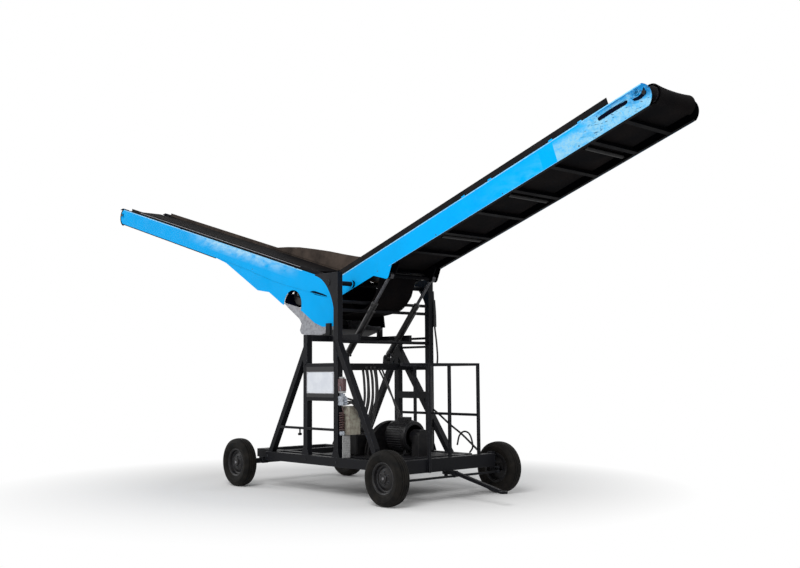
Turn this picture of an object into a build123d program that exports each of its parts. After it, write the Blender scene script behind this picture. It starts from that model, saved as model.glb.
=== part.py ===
from build123d import *
from math import atan2, cos, degrees, hypot, radians, sin, tan
import os

# Folding belt conveyor on four wheels: two belt booms meet in a V on a gantry.
# X runs along the booms, Y across, Z up. The origin is on the floor, midway
# between the two ends. Lengths are in millimetres, angles in degrees.

os.makedirs("parts", exist_ok=True)

# Driving dimensions
tyre_diameter = 640.0
tyre_width = 180.0
wheelbase = 3020.0
track = 1880.0
gantry_width = 1640.0
boom_width = 840.0
belt_width = 610.0
boom_depth = 250.0
apex_offset = 125.0
apex_height = 2715.0
right_slope = 18.0
left_slope = 16.0
right_length = 5100.0
left_length = 6280.0
belt_thickness = 9.0
valley_radius = 9500.0
web = 5.0
running_fit = 0.05
face_gap = 0.3
overrun = 20.0

# Belt line of both booms, square to the slope
drum_radius = 85.0
belt_beyond_tip = 25.0
belt_below_edge = 12.0
belt_radius = drum_radius + belt_thickness
drum_v = -belt_below_edge - belt_radius
carry_v = -belt_below_edge - belt_thickness / 2
return_v = drum_v - drum_radius - belt_thickness / 2
shaft_radius = 22.0
roller_radius = 24.0
roller_v = return_v - belt_thickness / 2 - roller_radius - face_gap

half_boom = boom_width / 2
half_gantry = gantry_width / 2
half_belt = belt_width / 2


def drum_u(length):
    """Distance of an end drum's centre from the apex, along the slope."""
    return length + belt_beyond_tip - belt_radius


def reach(length, slope):
    """Level distance from the apex to the belt's outermost point on an end drum."""
    return drum_u(length) * cos(radians(slope)) - drum_v * sin(radians(slope)) + belt_radius


# The two reaches differ, so the apex stands off the middle of the whole length.
left_reach = drum_u(left_length) * cos(radians(left_slope)) - drum_v * sin(radians(left_slope))
right_reach = reach(right_length, right_slope)
apex_x = (left_reach + belt_radius - right_reach) / 2
gantry_x = apex_x + apex_offset


def right_plane(y=0.0):
    """Side plane of the right boom: x along the slope, y square to it, facing -Y."""
    a = radians(right_slope)
    return Plane((apex_x, y, apex_height), x_dir=(cos(a), 0, sin(a)), z_dir=(0, -1, 0))


def left_plane(y=0.0):
    """Side plane of the left boom: x along the slope, y square to it, facing +Y."""
    a = radians(left_slope)
    return Plane((apex_x, y, apex_height), x_dir=(-cos(a), 0, sin(a)), z_dir=(0, 1, 0))


def gantry_plane(y=0.0):
    """Upright plane along X: its x is counted from the gantry, its y from the floor."""
    return Plane((gantry_x, y, 0), x_dir=(1, 0, 0), z_dir=(0, -1, 0))


def in_gantry(plane, u, v):
    """A point of a boom's side plane, in the gantry's upright plane."""
    p = plane.from_local_coords((u, v, 0))
    return p.X - gantry_x, p.Z


def block(x_low, x_high, y_a, y_b, z_low, z_high, mode=Mode.ADD):
    """A straight bar given by its faces, X counted from the gantry."""
    middle = (gantry_x + (x_low + x_high) / 2, (y_a + y_b) / 2, (z_low + z_high) / 2)
    with Locations(middle):
        Box(x_high - x_low, abs(y_b - y_a), z_high - z_low, mode=mode)


def raker(foot, head, depth, y_a, y_b):
    """A bar that leans in the plane of a side frame, given by its centre line."""
    lean = degrees(atan2(head[1] - foot[1], head[0] - foot[0]))
    middle = (gantry_x + (foot[0] + head[0]) / 2, (y_a + y_b) / 2, (foot[1] + head[1]) / 2)
    with Locations(Location(middle, (0, -lean, 0))):
        Box(hypot(head[0] - foot[0], head[1] - foot[1]), abs(y_b - y_a), depth)


def round_across(x, z, radius, y_a, y_b, mode=Mode.ADD):
    """A round bar, tube or bore along Y, X counted from the gantry."""
    with Locations(Location((gantry_x + x, (y_a + y_b) / 2, z), (90, 0, 0))):
        Cylinder(radius, abs(y_b - y_a), mode=mode)


def round_upright(x, y, radius, z_low, z_high, mode=Mode.ADD):
    """A round pin, eye or bore along Z, X counted from the gantry."""
    with Locations((gantry_x + x, y, (z_low + z_high) / 2)):
        Cylinder(radius, z_high - z_low, mode=mode)


def finish(part, name):
    """Labels a piece and writes it."""
    part.label = name
    export_step(part, f"parts/{name}.step")


# Running gear places
axle_height = tyre_diameter / 2
front_axle = wheelbase / 2
rear_axle = -wheelbase / 2
half_track = track / 2
kingpin_y = 780.0
kingpin_radius = 16.0
spindle_radius = 25.0
steering_arm = 130.0
tie_pin_radius = 9.0
tie_height = 285.0
tie_eye = 30.0

# Base frame of welded box beams
tube = 80.0
beam_top = 480.0
beam_bottom = 370.0
side_beam_front_inset = 350.0
side_beam_rear_inset = 440.0
side_beam_front = front_axle - side_beam_front_inset
side_beam_rear = rear_axle + side_beam_rear_inset
inner_rail_y = 505.0
inner_rail_width = 90.0
rail_overhang = 90.0
rail_rear = rear_axle - rail_overhang
end_beam_setback = 10.0
end_beam_depth = 110.0
end_beam_rear = front_axle - end_beam_setback
end_beam_front = end_beam_rear + end_beam_depth
end_beam_half = 750.0
end_beam_top = 505.0
end_beam_bottom = 350.0
boss_radius = 32.0
swivel_radius = 22.0
swivel_drop = 92.0
floor_thickness = 6.0
left_post = -230.0
right_post = 390.0
cross_beams = (side_beam_rear, left_post, right_post, side_beam_front - tube)

with BuildPart() as base_frame:
    for side in (-1, 1):
        block(side_beam_rear, side_beam_front, side * half_gantry, side * (half_gantry - tube), beam_bottom, beam_top)
        rail_outer = side * (inner_rail_y + inner_rail_width)
        block(rail_rear, end_beam_rear, side * inner_rail_y, rail_outer, beam_bottom, beam_top)
    for x in cross_beams:
        block(x, x + tube, -half_gantry, half_gantry, beam_bottom, beam_top)
    block(rail_rear, rail_rear + tube, -inner_rail_y, inner_rail_y, beam_bottom, beam_top)
    block(end_beam_rear, end_beam_front, -end_beam_half, end_beam_half, end_beam_bottom, end_beam_top)
    block(cross_beams[1], side_beam_front, -inner_rail_y, inner_rail_y, beam_top - floor_thickness, beam_top)
    for side in (-1, 1):
        round_upright(front_axle, side * kingpin_y, boss_radius, end_beam_bottom, end_beam_top)
    for side in (-1, 1):
        bore = kingpin_radius + running_fit
        round_upright(front_axle, side * kingpin_y, bore, 0, 2 * end_beam_top, Mode.SUBTRACT)
    round_upright(front_axle, 0, swivel_radius, end_beam_bottom - swivel_drop, end_beam_bottom + overrun)
finish(base_frame.part, "base_frame")

# Side frames: posts, rungs, raking legs and braces
left_post_top = 2000.0
right_post_top = 2760.0
rung_height = 90.0
lower_rung = 1165.0
upper_rung = 1545.0
thin_bar = 30.0
thin_bar_height = 800.0
leg_depth = 70.0
left_foot_inset = 55.0
brace_foot_inset = 310.0
left_head_height = 1850.0
right_head_height = 1900.0
left_foot = (side_beam_rear + left_foot_inset, beam_top - tube)
left_head = (left_post + tube / 2, left_head_height)
right_foot = (side_beam_front + tube, beam_top - tube)
right_head = (right_post + tube / 2, right_head_height)
brace_foot = (side_beam_front - brace_foot_inset, beam_top - tube)
brace_head = left_head
upper_bars = (1870.0, 1985.0)
hinge_x = 280.0
hinge_z = 2640.0
hinge_shaft_radius = 30.0
head_low = 2050.0
head_curve = ((371.0, 2383.0), (271.0, 2570.0), (169.0, 2672.0))
head_tip = (14.0, 2742.0)
head_thickness = 40.0
bar_from_foot = 200.0
bar_left = left_foot[0] + bar_from_foot

for side, name in ((-1, "near_side_frame"), (1, "far_side_frame")):
    outer, inner = side * half_gantry, side * (half_gantry - tube)
    with BuildPart() as side_frame:
        block(left_post, left_post + tube, outer, inner, beam_top, left_post_top)
        block(right_post, right_post + tube, outer, inner, beam_top, right_post_top)
        for z in (lower_rung, upper_rung):
            block(left_post, right_post + tube, outer, inner, z, z + rung_height)
        raker(left_foot, left_head, leg_depth, outer, inner)
        if side < 0:
            raker(right_foot, right_head, leg_depth, outer, inner)
            block(bar_left, right_post, outer, outer - side * thin_bar, thin_bar_height, thin_bar_height + thin_bar)
        else:
            raker(brace_foot, brace_head, leg_depth, outer, inner)
            for z in upper_bars:
                block(left_post, right_post, outer, outer - side * thin_bar, z - thin_bar, z)
        # Curved head of the tall post, bored for the hinge shaft
        with BuildSketch(gantry_plane(outer - side * head_thickness / 2)):
            with BuildLine():
                Spline((right_post, head_low), *head_curve, head_tip)
                Polyline(head_tip, (head_tip[0], right_post_top), (right_post + tube, right_post_top),
                         (right_post + tube, head_low), (right_post, head_low))
            make_face()
        extrude(amount=head_thickness / 2, both=True)
        round_across(hinge_x, hinge_z, hinge_shaft_radius + running_fit, outer * 2, 0, Mode.SUBTRACT)
        # The feet are cut level with the base frame and square at its front end.
        block(-wheelbase, wheelbase, outer + side * overrun, inner - side * overrun, 0, beam_top, Mode.SUBTRACT)
        block(side_beam_front, wheelbase, outer + side * overrun, inner - side * overrun, 0, upper_rung, Mode.SUBTRACT)
    finish(side_frame.part, name)

# Gantry cross-bars, the beam under the cylinders and the carriers of the left boom
cross_bar = 40.0
cross_bar_heights = (1900.0, 2290.0, 2395.0)
lift_x = 50.0
lift_z = 1710.0
lift_y = 356.0
lift_pin_radius = 15.0
lift_cheek = 12.0
lift_eye_width = 52.0
lift_eye_radius = 42.0
cheek_gap = 2.0
carrier_width = 40.0
carrier_top = left_post_top
post_inner = half_gantry - tube

with BuildPart() as gantry_bars:
    for z in cross_bar_heights:
        round_across(right_post + cross_bar, z, cross_bar / 2, -post_inner, post_inner)
    block(left_post, left_post + tube, -post_inner, post_inner, left_post_top - tube, left_post_top)
    for side in (-1, 1):
        y_a, y_b = side * half_boom, side * (half_boom + carrier_width)
        block(left_post, right_post + cross_bar, y_a, y_b, carrier_top - tube, carrier_top)
        block(right_post, right_post + cross_bar, y_a, y_b, cross_bar_heights[0], carrier_top)
        block(left_post, left_post + tube, y_a, y_b, carrier_top - tube, carrier_top + tube * 2)
finish(gantry_bars.part, "gantry_bars")

with BuildPart() as lift_beam:
    block(lift_x - tube / 2, lift_x + tube / 2, -post_inner, post_inner, upper_rung, upper_rung + rung_height)
    for side in (-1, 1):
        for step in (-1, 1):
            face = side * lift_y + step * (lift_eye_width / 2 + cheek_gap)
            with BuildSketch(gantry_plane(face + step * lift_cheek / 2)):
                with Locations((lift_x, lift_z)):
                    Circle(lift_pin_radius * 2)
                with Locations((lift_x, upper_rung + rung_height - lift_cheek)):
                    Rectangle(tube, 2 * lift_cheek)
                make_hull()
            extrude(amount=lift_cheek / 2, both=True)
        span = lift_eye_width / 2 + cheek_gap + lift_cheek
        round_across(lift_x, lift_z, lift_pin_radius, side * lift_y - span, side * lift_y + span)
finish(lift_beam.part, "lift_beam")

with BuildPart() as hinge_shaft:
    round_across(hinge_x, hinge_z, hinge_shaft_radius, -half_gantry, half_gantry)
finish(hinge_shaft.part, "hinge_shaft")

# Rear axle: a tube under the inner rails with a spindle at each end
axle_radius = 35.0
saddle = 90.0
axle_shoulder = 100.0
spindle_end = 45.0

with BuildPart() as rear_axle_tube:
    shoulder = half_track - axle_shoulder
    round_across(rear_axle, axle_height, axle_radius, -shoulder, shoulder)
    round_across(rear_axle, axle_height, spindle_radius, -half_track - spindle_end, half_track + spindle_end)
    for side in (-1, 1):
        y_a, y_b = side * inner_rail_y, side * (inner_rail_y + inner_rail_width)
        block(rear_axle - saddle / 2, rear_axle + saddle / 2, y_a, y_b, axle_height - axle_radius, beam_bottom)
finish(rear_axle_tube.part, "rear_axle")

# Guard rail at the right end, with its side rails
rail = 32.0
rail_x = end_beam_front - tube
rail_height = 1620.0
side_rail_y = 520.0
side_rails = (985.0, rail_height - rail / 2)
upright_rows = ((end_beam_front, -400.0, end_beam_bottom), (rail_x, 20.0, end_beam_top), (rail_x, side_rail_y, end_beam_top))

with BuildPart() as guard_rail:
    for x, y, z in upright_rows:
        block(x, x + rail, y, y + rail, z, rail_height)
    block(rail_x, end_beam_front + rail, upright_rows[0][1], upright_rows[0][1] + rail, rail_height - rail, rail_height)
    block(rail_x, rail_x + rail, -post_inner, side_rail_y + rail, rail_height - rail, rail_height)
    for z in side_rails:
        block(lift_x + tube / 2, rail_x, side_rail_y, side_rail_y + rail, z - rail / 2, z + rail / 2)
    block(right_post, right_post + rail, side_rail_y, side_rail_y + rail, beam_top, rail_height - rail / 2)
finish(guard_rail.part, "guard_rail")

# Boom frames: channel sides, deck, cross members, with bores for drum and roller shafts
flange = 45.0
deck_thickness = 4.0
member_width = 50.0
member_height = 36.0
tip_round = 70.0
deck_v = carry_v - belt_thickness / 2 - face_gap - deck_thickness / 2
web_middle = half_boom - web / 2
inner_width = half_boom - web

slot_from_tip = 455.0
slot_length = 370.0
slot_height = 38.0
slot_v = -88.0
lug_u = 1000.0
lug_v = -335.0
lug_radius = 45.0
lug_pin_radius = 15.0
lug_inner_y = 324.0
lug_tube_radius = 25.0
lug_inner = 12.0
right_start = 110.0
left_start = 420.0
left_top_start = 0.0
hinge_boss = 48.0
hinge_boss_length = 60.0
roller_pitch = 1100.0
first_right_roller = 860.0
left_roller_from_member = 300.0
members_per_roller = 2
first_left_member = 1600.0
last_left_member = 280.0
left_member_count = 9
member_pitch = (left_length - last_left_member - first_left_member) / (left_member_count - 1)
members_from_apex = (440.0, 894.0, 1500.0, 2040.0)
members_from_tip = (2500.0, 1940.0, 1380.0, 830.0, 400.0)


def side_outline(length, start, points):
    """Edges of a boom's side plate: straight top, round tip, then the given lower edge."""
    Line((start, 0), (length - tip_round, 0))
    ThreePointArc((length - tip_round, 0), (length, -boom_depth / 2), (length - tip_round, -boom_depth))
    Polyline((length - tip_round, -boom_depth), *points, (start, 0))


def strip(plane, u_low, u_high, v_low, v_high, y_a, y_b):
    """A straight bar along a boom, given by its faces."""
    middle = Location(((u_low + u_high) / 2, (v_low + v_high) / 2, 0))
    with Locations(plane((y_a + y_b) / 2).location * middle):
        Box(u_high - u_low, v_high - v_low, abs(y_b - y_a))


def rod(plane, u, v, radius, y_a, y_b, mode=Mode.ADD):
    """A round bar or bore across a boom."""
    with Locations(plane((y_a + y_b) / 2).location * Location((u, v, 0))):
        Cylinder(radius, abs(y_b - y_a), mode=mode)


hinge_local = right_plane().to_local_coords(Vector(gantry_x + hinge_x, 0, hinge_z))
right_rollers = [first_right_roller + roller_pitch * i for i in range(4)]
first_left_roller = first_left_member + left_roller_from_member
left_rollers = [first_left_roller + members_per_roller * member_pitch * i for i in range(4)]
right_members = [*members_from_apex, *(right_length - u for u in members_from_tip)]
left_members = [first_left_member + member_pitch * i for i in range(left_member_count)]
bearing_plate = 12.0
drive_u = 785.0
drive_radius = 150.0
drive_v = return_v - belt_thickness / 2 - drive_radius - face_gap
drum_half = half_belt + 15.0
drum_side = drum_half + 8.0

with BuildPart() as right_boom_frame:
    for side in (-1, 1):
        with BuildSketch(right_plane(side * web_middle)):
            with BuildLine():
                side_outline(right_length, right_start, ((right_start, -boom_depth),))
            make_face()
        extrude(amount=web / 2, both=True)
        with BuildSketch(right_plane(side * web_middle)):
            with Locations((lug_u, lug_v)):
                Circle(lug_radius)
            with Locations((lug_u - lug_radius, -boom_depth + web)):
                Rectangle(lug_radius * 8, 2 * web)
            make_hull()
        extrude(amount=web / 2, both=True)
        y_a, y_b = side * half_boom, side * (half_boom - flange)
        strip(right_plane, right_start, right_length - tip_round, -web, 0, y_a, y_b)
        strip(right_plane, right_start, lug_u - lug_radius * 5, -boom_depth, -boom_depth + web, y_a, y_b)
        strip(right_plane, lug_u + lug_radius * 3, right_length - tip_round, -boom_depth, -boom_depth + web, y_a, y_b)
    strip(right_plane, right_start + 40, right_length - 2 * belt_radius, deck_v - deck_thickness / 2,
          deck_v + deck_thickness / 2, -inner_width, inner_width)
    for u in right_members:
        strip(right_plane, u, u + member_width, -boom_depth, -boom_depth + member_height, -inner_width, inner_width)
    for side in (-1, 1):
        with BuildSketch(right_plane(side * (lug_inner_y - lug_inner / 2))):
            with Locations((lug_u, lug_v)):
                Circle(lug_radius)
            with Locations((lug_u + lug_radius, -boom_depth + member_height / 2)):
                Rectangle(lug_radius * 5, member_height)
            make_hull()
        extrude(amount=lug_inner / 2, both=True)
        rod(right_plane, lug_u, lug_v, lug_pin_radius, side * (lug_inner_y - lug_inner), side * half_boom)
        rod(right_plane, lug_u, lug_v, lug_tube_radius, 0, side * (lug_inner_y - lug_inner))
        boss_a = side * (half_boom - hinge_boss_length)
        rod(right_plane, hinge_local.X, hinge_local.Y, hinge_boss, boss_a, side * (half_boom + hinge_boss_length / 2))
    rod(right_plane, hinge_local.X, hinge_local.Y, hinge_shaft_radius + running_fit,
        -half_gantry, half_gantry, Mode.SUBTRACT)
    for side in (-1, 1):
        with BuildSketch(right_plane(side * web_middle)):
            with Locations((right_length - slot_from_tip, slot_v)):
                SlotOverall(slot_length, slot_height)
        extrude(amount=web, both=True, mode=Mode.SUBTRACT)
    for u, v in [(drum_u(right_length), drum_v)] + [(u, roller_v) for u in right_rollers]:
        bore = shaft_radius if v == drum_v else roller_radius / 3
        rod(right_plane, u, v, bore + running_fit, -half_gantry, half_gantry, Mode.SUBTRACT)
finish(right_boom_frame.part, "right_boom_frame")

# Deep lower edge of the left boom's side plates, round the drive drum
deep_edge = ((2930.0, -250.0), (2620.0, -272.0), (1680.0, -490.0), (1390.0, -455.0), (1020.0, -548.0),
             (560.0, -536.0), (245.0, -623.0), (60.0, -634.0), (-235.0, -552.0), (-103.0, -267.0), (39.0, -100.0),
             (176.0, -20.0))
arch_u = 785.0
arch_v = -505.0
arch_radius = 205.0

with BuildPart() as left_boom_frame:
    for side in (-1, 1):
        with BuildSketch(left_plane(side * web_middle)):
            with BuildLine():
                side_outline(left_length, left_start, deep_edge)
            make_face()
            with Locations((arch_u, arch_v)):
                Circle(arch_radius, mode=Mode.SUBTRACT)
        extrude(amount=web / 2, both=True)
        y_a, y_b = side * half_boom, side * (half_boom - flange)
        strip(left_plane, left_top_start, left_length - tip_round, -web, 0, y_a, y_b)
        strip(left_plane, deep_edge[0][0], left_length - tip_round, -boom_depth, -boom_depth + web, y_a, y_b)
        y_a, y_b = side * drum_side, side * (drum_side + bearing_plate)
        strip(left_plane, drive_u - member_width, drive_u + member_width, drive_v - 2 * shaft_radius, deck_v, y_a, y_b)
        strip(left_plane, drive_u - member_width, drive_u + member_width, deck_v - member_width, deck_v,
              y_a, side * inner_width)
    strip(left_plane, left_start, left_length - 2 * belt_radius, deck_v - deck_thickness / 2,
          deck_v + deck_thickness / 2, -inner_width, inner_width)
    for u in left_members:
        strip(left_plane, u, u + member_width, -boom_depth, -boom_depth + member_height, -inner_width, inner_width)
    bores = [(drum_u(left_length), drum_v, shaft_radius), (drive_u, drive_v, shaft_radius)]
    for u, v, radius in bores + [(u, roller_v, roller_radius / 3) for u in left_rollers]:
        rod(left_plane, u, v, radius + running_fit, -half_gantry, half_gantry, Mode.SUBTRACT)
finish(left_boom_frame.part, "left_boom_frame")

# Skirt boards on the top flanges
right_skirt_height = 95.0
left_skirt_height = 52.0
skirt_thickness = 6.0
skirt_inset = 42.0
skirt_y = half_boom - skirt_inset
right_skirt_stop = 500.0
left_skirt_stop = 320.0
# Rubber flap along the far side of the fold, in gantry X and Z
flap_top = ((-2442.0, 3449.0), (-2232.0, 3434.0), (-1925.0, 3400.0), (-1553.0, 3336.0), (-1196.0, 3268.0),
            (-851.0, 3191.0), (-606.0, 3141.0), (0.0, 3030.0), (260.0, 2982.0))
flap_foot = ((260.0, 2950.0), (0.0, 2870.0), (-170.0, 2760.0))
flap_start = 2620.0
flap_rise = 20.0
flap_thickness = 6.0

with BuildPart() as right_skirts:
    for side in (-1, 1):
        strip(right_plane, right_start + skirt_thickness, right_length - right_skirt_stop, 0, right_skirt_height,
              side * skirt_y, side * (skirt_y + skirt_thickness))
finish(right_skirts.part, "right_skirts")

with BuildPart() as left_skirts:
    for side in (-1, 1):
        strip(left_plane, left_top_start + skirt_thickness, left_length - left_skirt_stop, 0, left_skirt_height,
              side * skirt_y, side * (skirt_y + skirt_thickness))
    strip(left_plane, left_top_start + skirt_thickness, flap_start, flap_rise, left_skirt_height,
          skirt_y - flap_thickness, skirt_y)
    flap_corner = in_gantry(left_plane(), flap_start, flap_rise)
    with BuildSketch(gantry_plane(skirt_y - flap_thickness * 3 / 2)):
        with BuildLine():
            Polyline(flap_corner, *flap_top, *flap_foot, close=True)
        make_face()
    extrude(amount=flap_thickness / 2, both=True)
finish(left_skirts.part, "left_skirts")

# Drums and rollers, each with its shaft
for plane, name, length in ((right_plane, "head_drum", right_length), (left_plane, "tail_drum", left_length)):
    with BuildPart() as drum:
        rod(plane, drum_u(length), drum_v, drum_radius - face_gap, -drum_half, drum_half)
        rod(plane, drum_u(length), drum_v, shaft_radius, -half_boom - shaft_radius, half_boom + shaft_radius)
    finish(drum.part, name)

with BuildPart() as drive_drum:
    rod(left_plane, drive_u, drive_v, drive_radius, -drum_half, drum_half)
    drive_end = drum_side + bearing_plate + shaft_radius
    rod(left_plane, drive_u, drive_v, shaft_radius, -drive_end, drive_end)
finish(drive_drum.part, "drive_drum")

for plane, name, rollers in ((right_plane, "right_rollers", right_rollers), (left_plane, "left_rollers", left_rollers)):
    with BuildPart() as roller_set:
        for u in rollers:
            rod(plane, u, roller_v, roller_radius, -drum_half, drum_half)
            rod(plane, u, roller_v, roller_radius / 3, -half_boom, half_boom)
    finish(roller_set.part, name)

# Belt: its centre line in the gantry's upright plane, traced at the belt's thickness
valley_turn = right_slope + left_slope
valley_tangent = valley_radius * tan(radians(valley_turn / 2))
valley_gap = 80.0
valley_end_x = -190.0
loop_low = (-650.0, 2260.0)
loop_end = (300.0, 2295.0)
hang_end = (600.0, 2500.0)
loop_radius = 250.0
drive_wrap = 50.0


def unit(degrees_up):
    return cos(radians(degrees_up)), sin(radians(degrees_up))


# The carrying strands' centre lines cross here, just under the apex.
slope_sum = tan(radians(right_slope)) + tan(radians(left_slope))
right_lift = carry_v / cos(radians(right_slope))
left_lift = carry_v / cos(radians(left_slope))
cross_x = (left_lift - right_lift) / slope_sum
corner = (cross_x - apex_offset, apex_height + right_lift + cross_x * tan(radians(right_slope)))
bisector = 90 + (right_slope - left_slope) / 2
valley_rise = valley_radius / cos(radians(valley_turn / 2))
valley_centre = (corner[0] + valley_rise * unit(bisector)[0], corner[1] + valley_rise * unit(bisector)[1])


def on_valley(x):
    """Point of the valley's arc at a given X."""
    return x, valley_centre[1] - (valley_radius**2 - (x - valley_centre[0]) ** 2) ** 0.5


def belt_run(plane, length, slope, inner_x):
    """Valley arc, carrying strand and wrap round the end drum, up to the return strand."""
    outward = 1 if inner_x > valley_end_x else -1
    heading = unit(slope)
    tangent = (corner[0] + outward * valley_tangent * heading[0], corner[1] + valley_tangent * heading[1])
    middle_x = (inner_x + tangent[0]) / 2
    ThreePointArc(on_valley(inner_x), on_valley(middle_x), tangent)
    top = in_gantry(plane, drum_u(length), carry_v)
    Line(tangent, top)
    tip = in_gantry(plane, drum_u(length) + drum_radius + belt_thickness / 2, drum_v)
    bottom = in_gantry(plane, drum_u(length), return_v)
    ThreePointArc(top, tip, bottom)
    return bottom


with BuildPart() as right_belt:
    with BuildSketch(gantry_plane()):
        with BuildLine():
            bottom = belt_run(right_plane(), right_length, right_slope, valley_end_x + valley_gap)
            bend = in_gantry(right_plane(), right_rollers[0] - 2 * roller_radius, return_v)
            FilletPolyline(bottom, bend, hang_end, radius=roller_radius * 3)
        trace(line_width=belt_thickness)
    extrude(amount=half_belt, both=True)
finish(right_belt.part, "right_belt")

with BuildPart() as left_belt:
    with BuildSketch(gantry_plane()):
        with BuildLine():
            bottom = belt_run(left_plane(), left_length, left_slope, valley_end_x)
            drive_top = in_gantry(left_plane(), drive_u, return_v)
            Line(bottom, drive_top)
            centre = in_gantry(left_plane(), drive_u, drive_v)
            wrap_radius = drive_radius + face_gap + belt_thickness / 2
            mid_way = unit(90 - left_slope - drive_wrap / 2)
            end_way = unit(90 - left_slope - drive_wrap)
            wrap_middle = (centre[0] + wrap_radius * mid_way[0], centre[1] + wrap_radius * mid_way[1])
            wrap_end = (centre[0] + wrap_radius * end_way[0], centre[1] + wrap_radius * end_way[1])
            ThreePointArc(drive_top, wrap_middle, wrap_end)
            FilletPolyline(wrap_end, loop_low, loop_end, radius=loop_radius)
        trace(line_width=belt_thickness)
    extrude(amount=half_belt, both=True)
finish(left_belt.part, "left_belt")

# Guard pan under the drive drum
guard_sheet = 3.0
guard_edge = ((900.0, -560.0), (590.0, -650.0), (520.0, -700.0), (530.0, -800.0), (490.0, -835.0),
              (345.0, -835.0), (60.0, -745.0), (-190.0, -600.0))
guard_rim = ((-150.0, -560.0), (60.0, -600.0), (245.0, -590.0), (560.0, -500.0), (1010.0, -520.0))

with BuildPart() as drum_guard:
    for side in (-1, 1):
        guard_y = side * (inner_width - face_gap - guard_sheet / 2)
        with BuildSketch(left_plane(guard_y)):
            with BuildLine():
                Polyline(*guard_edge, *guard_rim, close=True)
            make_face()
        extrude(amount=guard_sheet / 2, both=True)
    with BuildSketch(left_plane()):
        with BuildLine():
            Polyline(*guard_edge)
        trace(line_width=guard_sheet)
    extrude(amount=inner_width - face_gap, both=True)
finish(drum_guard.part, "drum_guard")

# Lift cylinders, each along the line from its base pin to its lug pin
lug_point = in_gantry(right_plane(), lug_u, lug_v)
lift_length = hypot(lug_point[0] - lift_x, lug_point[1] - lift_z)
lift_angle = degrees(atan2(lug_point[1] - lift_z, lug_point[0] - lift_x))
barrel_length = 900.0
barrel_start = 48.0
barrel_radius = 38.0
barrel_bore = 31.0
rod_radius = 20.0
gland_length = 60.0
piston_length = 40.0
piston_back = 420.0
rod_eye_radius = 46.0
rod_eye_bore = 33.0


def lift_plane(y):
    """Side plane of a cylinder: x from its base pin towards its lug pin."""
    way = unit(lift_angle)
    return Plane((gantry_x + lift_x, y, lift_z), x_dir=(way[0], 0, way[1]), z_dir=(0, -1, 0))


for side, name in ((-1, "near"), (1, "far")):
    plane = lift_plane(side * lift_y)
    axis = Axis(plane.origin, plane.x_dir)
    with BuildPart() as barrel:
        with BuildSketch(plane):
            with BuildLine():
                Polyline((0, 0), (0, lift_eye_width / 2), (barrel_start, lift_eye_width / 2),
                         (barrel_start, barrel_radius), (barrel_length, barrel_radius),
                         (barrel_length, rod_radius + running_fit), (barrel_length - gland_length, rod_radius + running_fit),
                         (barrel_length - gland_length, barrel_bore), (2 * lift_eye_radius, barrel_bore),
                         (2 * lift_eye_radius, 0), close=True)
            make_face()
        revolve(axis=axis)
        with BuildSketch(plane):
            Circle(lift_eye_radius)
        extrude(amount=lift_eye_width / 2, both=True)
        with BuildSketch(plane):
            Circle(lift_pin_radius + running_fit)
        extrude(amount=barrel_radius + overrun, both=True, mode=Mode.SUBTRACT)
    finish(barrel.part, f"{name}_barrel")
    with BuildPart() as lift_rod:
        with BuildSketch(plane):
            with BuildLine():
                start = barrel_length - piston_back
                Polyline((start, 0), (start, barrel_bore - running_fit), (start + piston_length, barrel_bore - running_fit),
                         (start + piston_length, rod_radius), (lift_length - rod_eye_bore, rod_radius),
                         (lift_length - rod_eye_bore, 0), close=True)
            make_face()
        revolve(axis=axis)
        with BuildSketch(plane):
            with Locations((lift_length, 0)):
                Circle(rod_eye_radius)
        extrude(amount=lift_eye_width / 2, both=True)
        with BuildSketch(plane):
            with Locations((lift_length, 0)):
                Circle(rod_eye_bore)
        extrude(amount=barrel_radius + overrun, both=True, mode=Mode.SUBTRACT)
    finish(lift_rod.part, f"{name}_rod")

# Steering: knuckles, tie rod and drawbar form a parallelogram
knuckle_gap = 2.0
knuckle_plate = 16.0
knuckle_half = 32.0
knuckle_back = 40.0
knuckle_back_plate = 18.0
arm_width = 44.0

for side, name in ((-1, "near_knuckle"), (1, "far_knuckle")):
    pin_y = side * kingpin_y
    back_a = side * (kingpin_y + knuckle_back)
    back_b = side * (kingpin_y + knuckle_back + knuckle_back_plate)
    low_top = end_beam_bottom - knuckle_gap
    high_low = end_beam_top + knuckle_gap
    with BuildPart() as knuckle:
        for z_low, z_high in ((low_top - knuckle_plate, low_top), (high_low, high_low + knuckle_plate)):
            block(front_axle - knuckle_half, front_axle + knuckle_half, pin_y, back_b, z_low, z_high)
            round_upright(front_axle, pin_y, knuckle_half, z_low, z_high)
        block(front_axle - knuckle_half, front_axle + knuckle_half, back_a, back_b,
              axle_height - knuckle_back, high_low + knuckle_plate)
        round_upright(front_axle, pin_y, kingpin_radius, low_top - knuckle_plate, high_low + knuckle_plate)
        round_across(front_axle, axle_height, spindle_radius, back_a, side * (half_track + spindle_end))
        arm_x = front_axle + steering_arm
        block(front_axle, arm_x, pin_y - arm_width / 2, pin_y + arm_width / 2, low_top - knuckle_plate, low_top)
        round_upright(arm_x, pin_y, arm_width / 2, low_top - knuckle_plate, low_top)
        round_upright(arm_x, pin_y, tie_pin_radius, tie_height - tie_eye / 2, low_top)
    finish(knuckle.part, name)

tie_rod_radius = 14.0
tie_eye_radius = 22.0
tie_x = front_axle + steering_arm

with BuildPart() as tie_rod:
    round_across(tie_x, tie_height, tie_rod_radius, -kingpin_y, kingpin_y)
    for y in (-kingpin_y, 0, kingpin_y):
        round_upright(tie_x, y, tie_eye_radius, tie_height - tie_eye / 2, tie_height + tie_eye / 2)
    for y in (-kingpin_y, 0, kingpin_y):
        round_upright(tie_x, y, tie_pin_radius + running_fit, tie_height - tie_eye, tie_height + tie_eye, Mode.SUBTRACT)
finish(tie_rod.part, "tie_rod")

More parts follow.
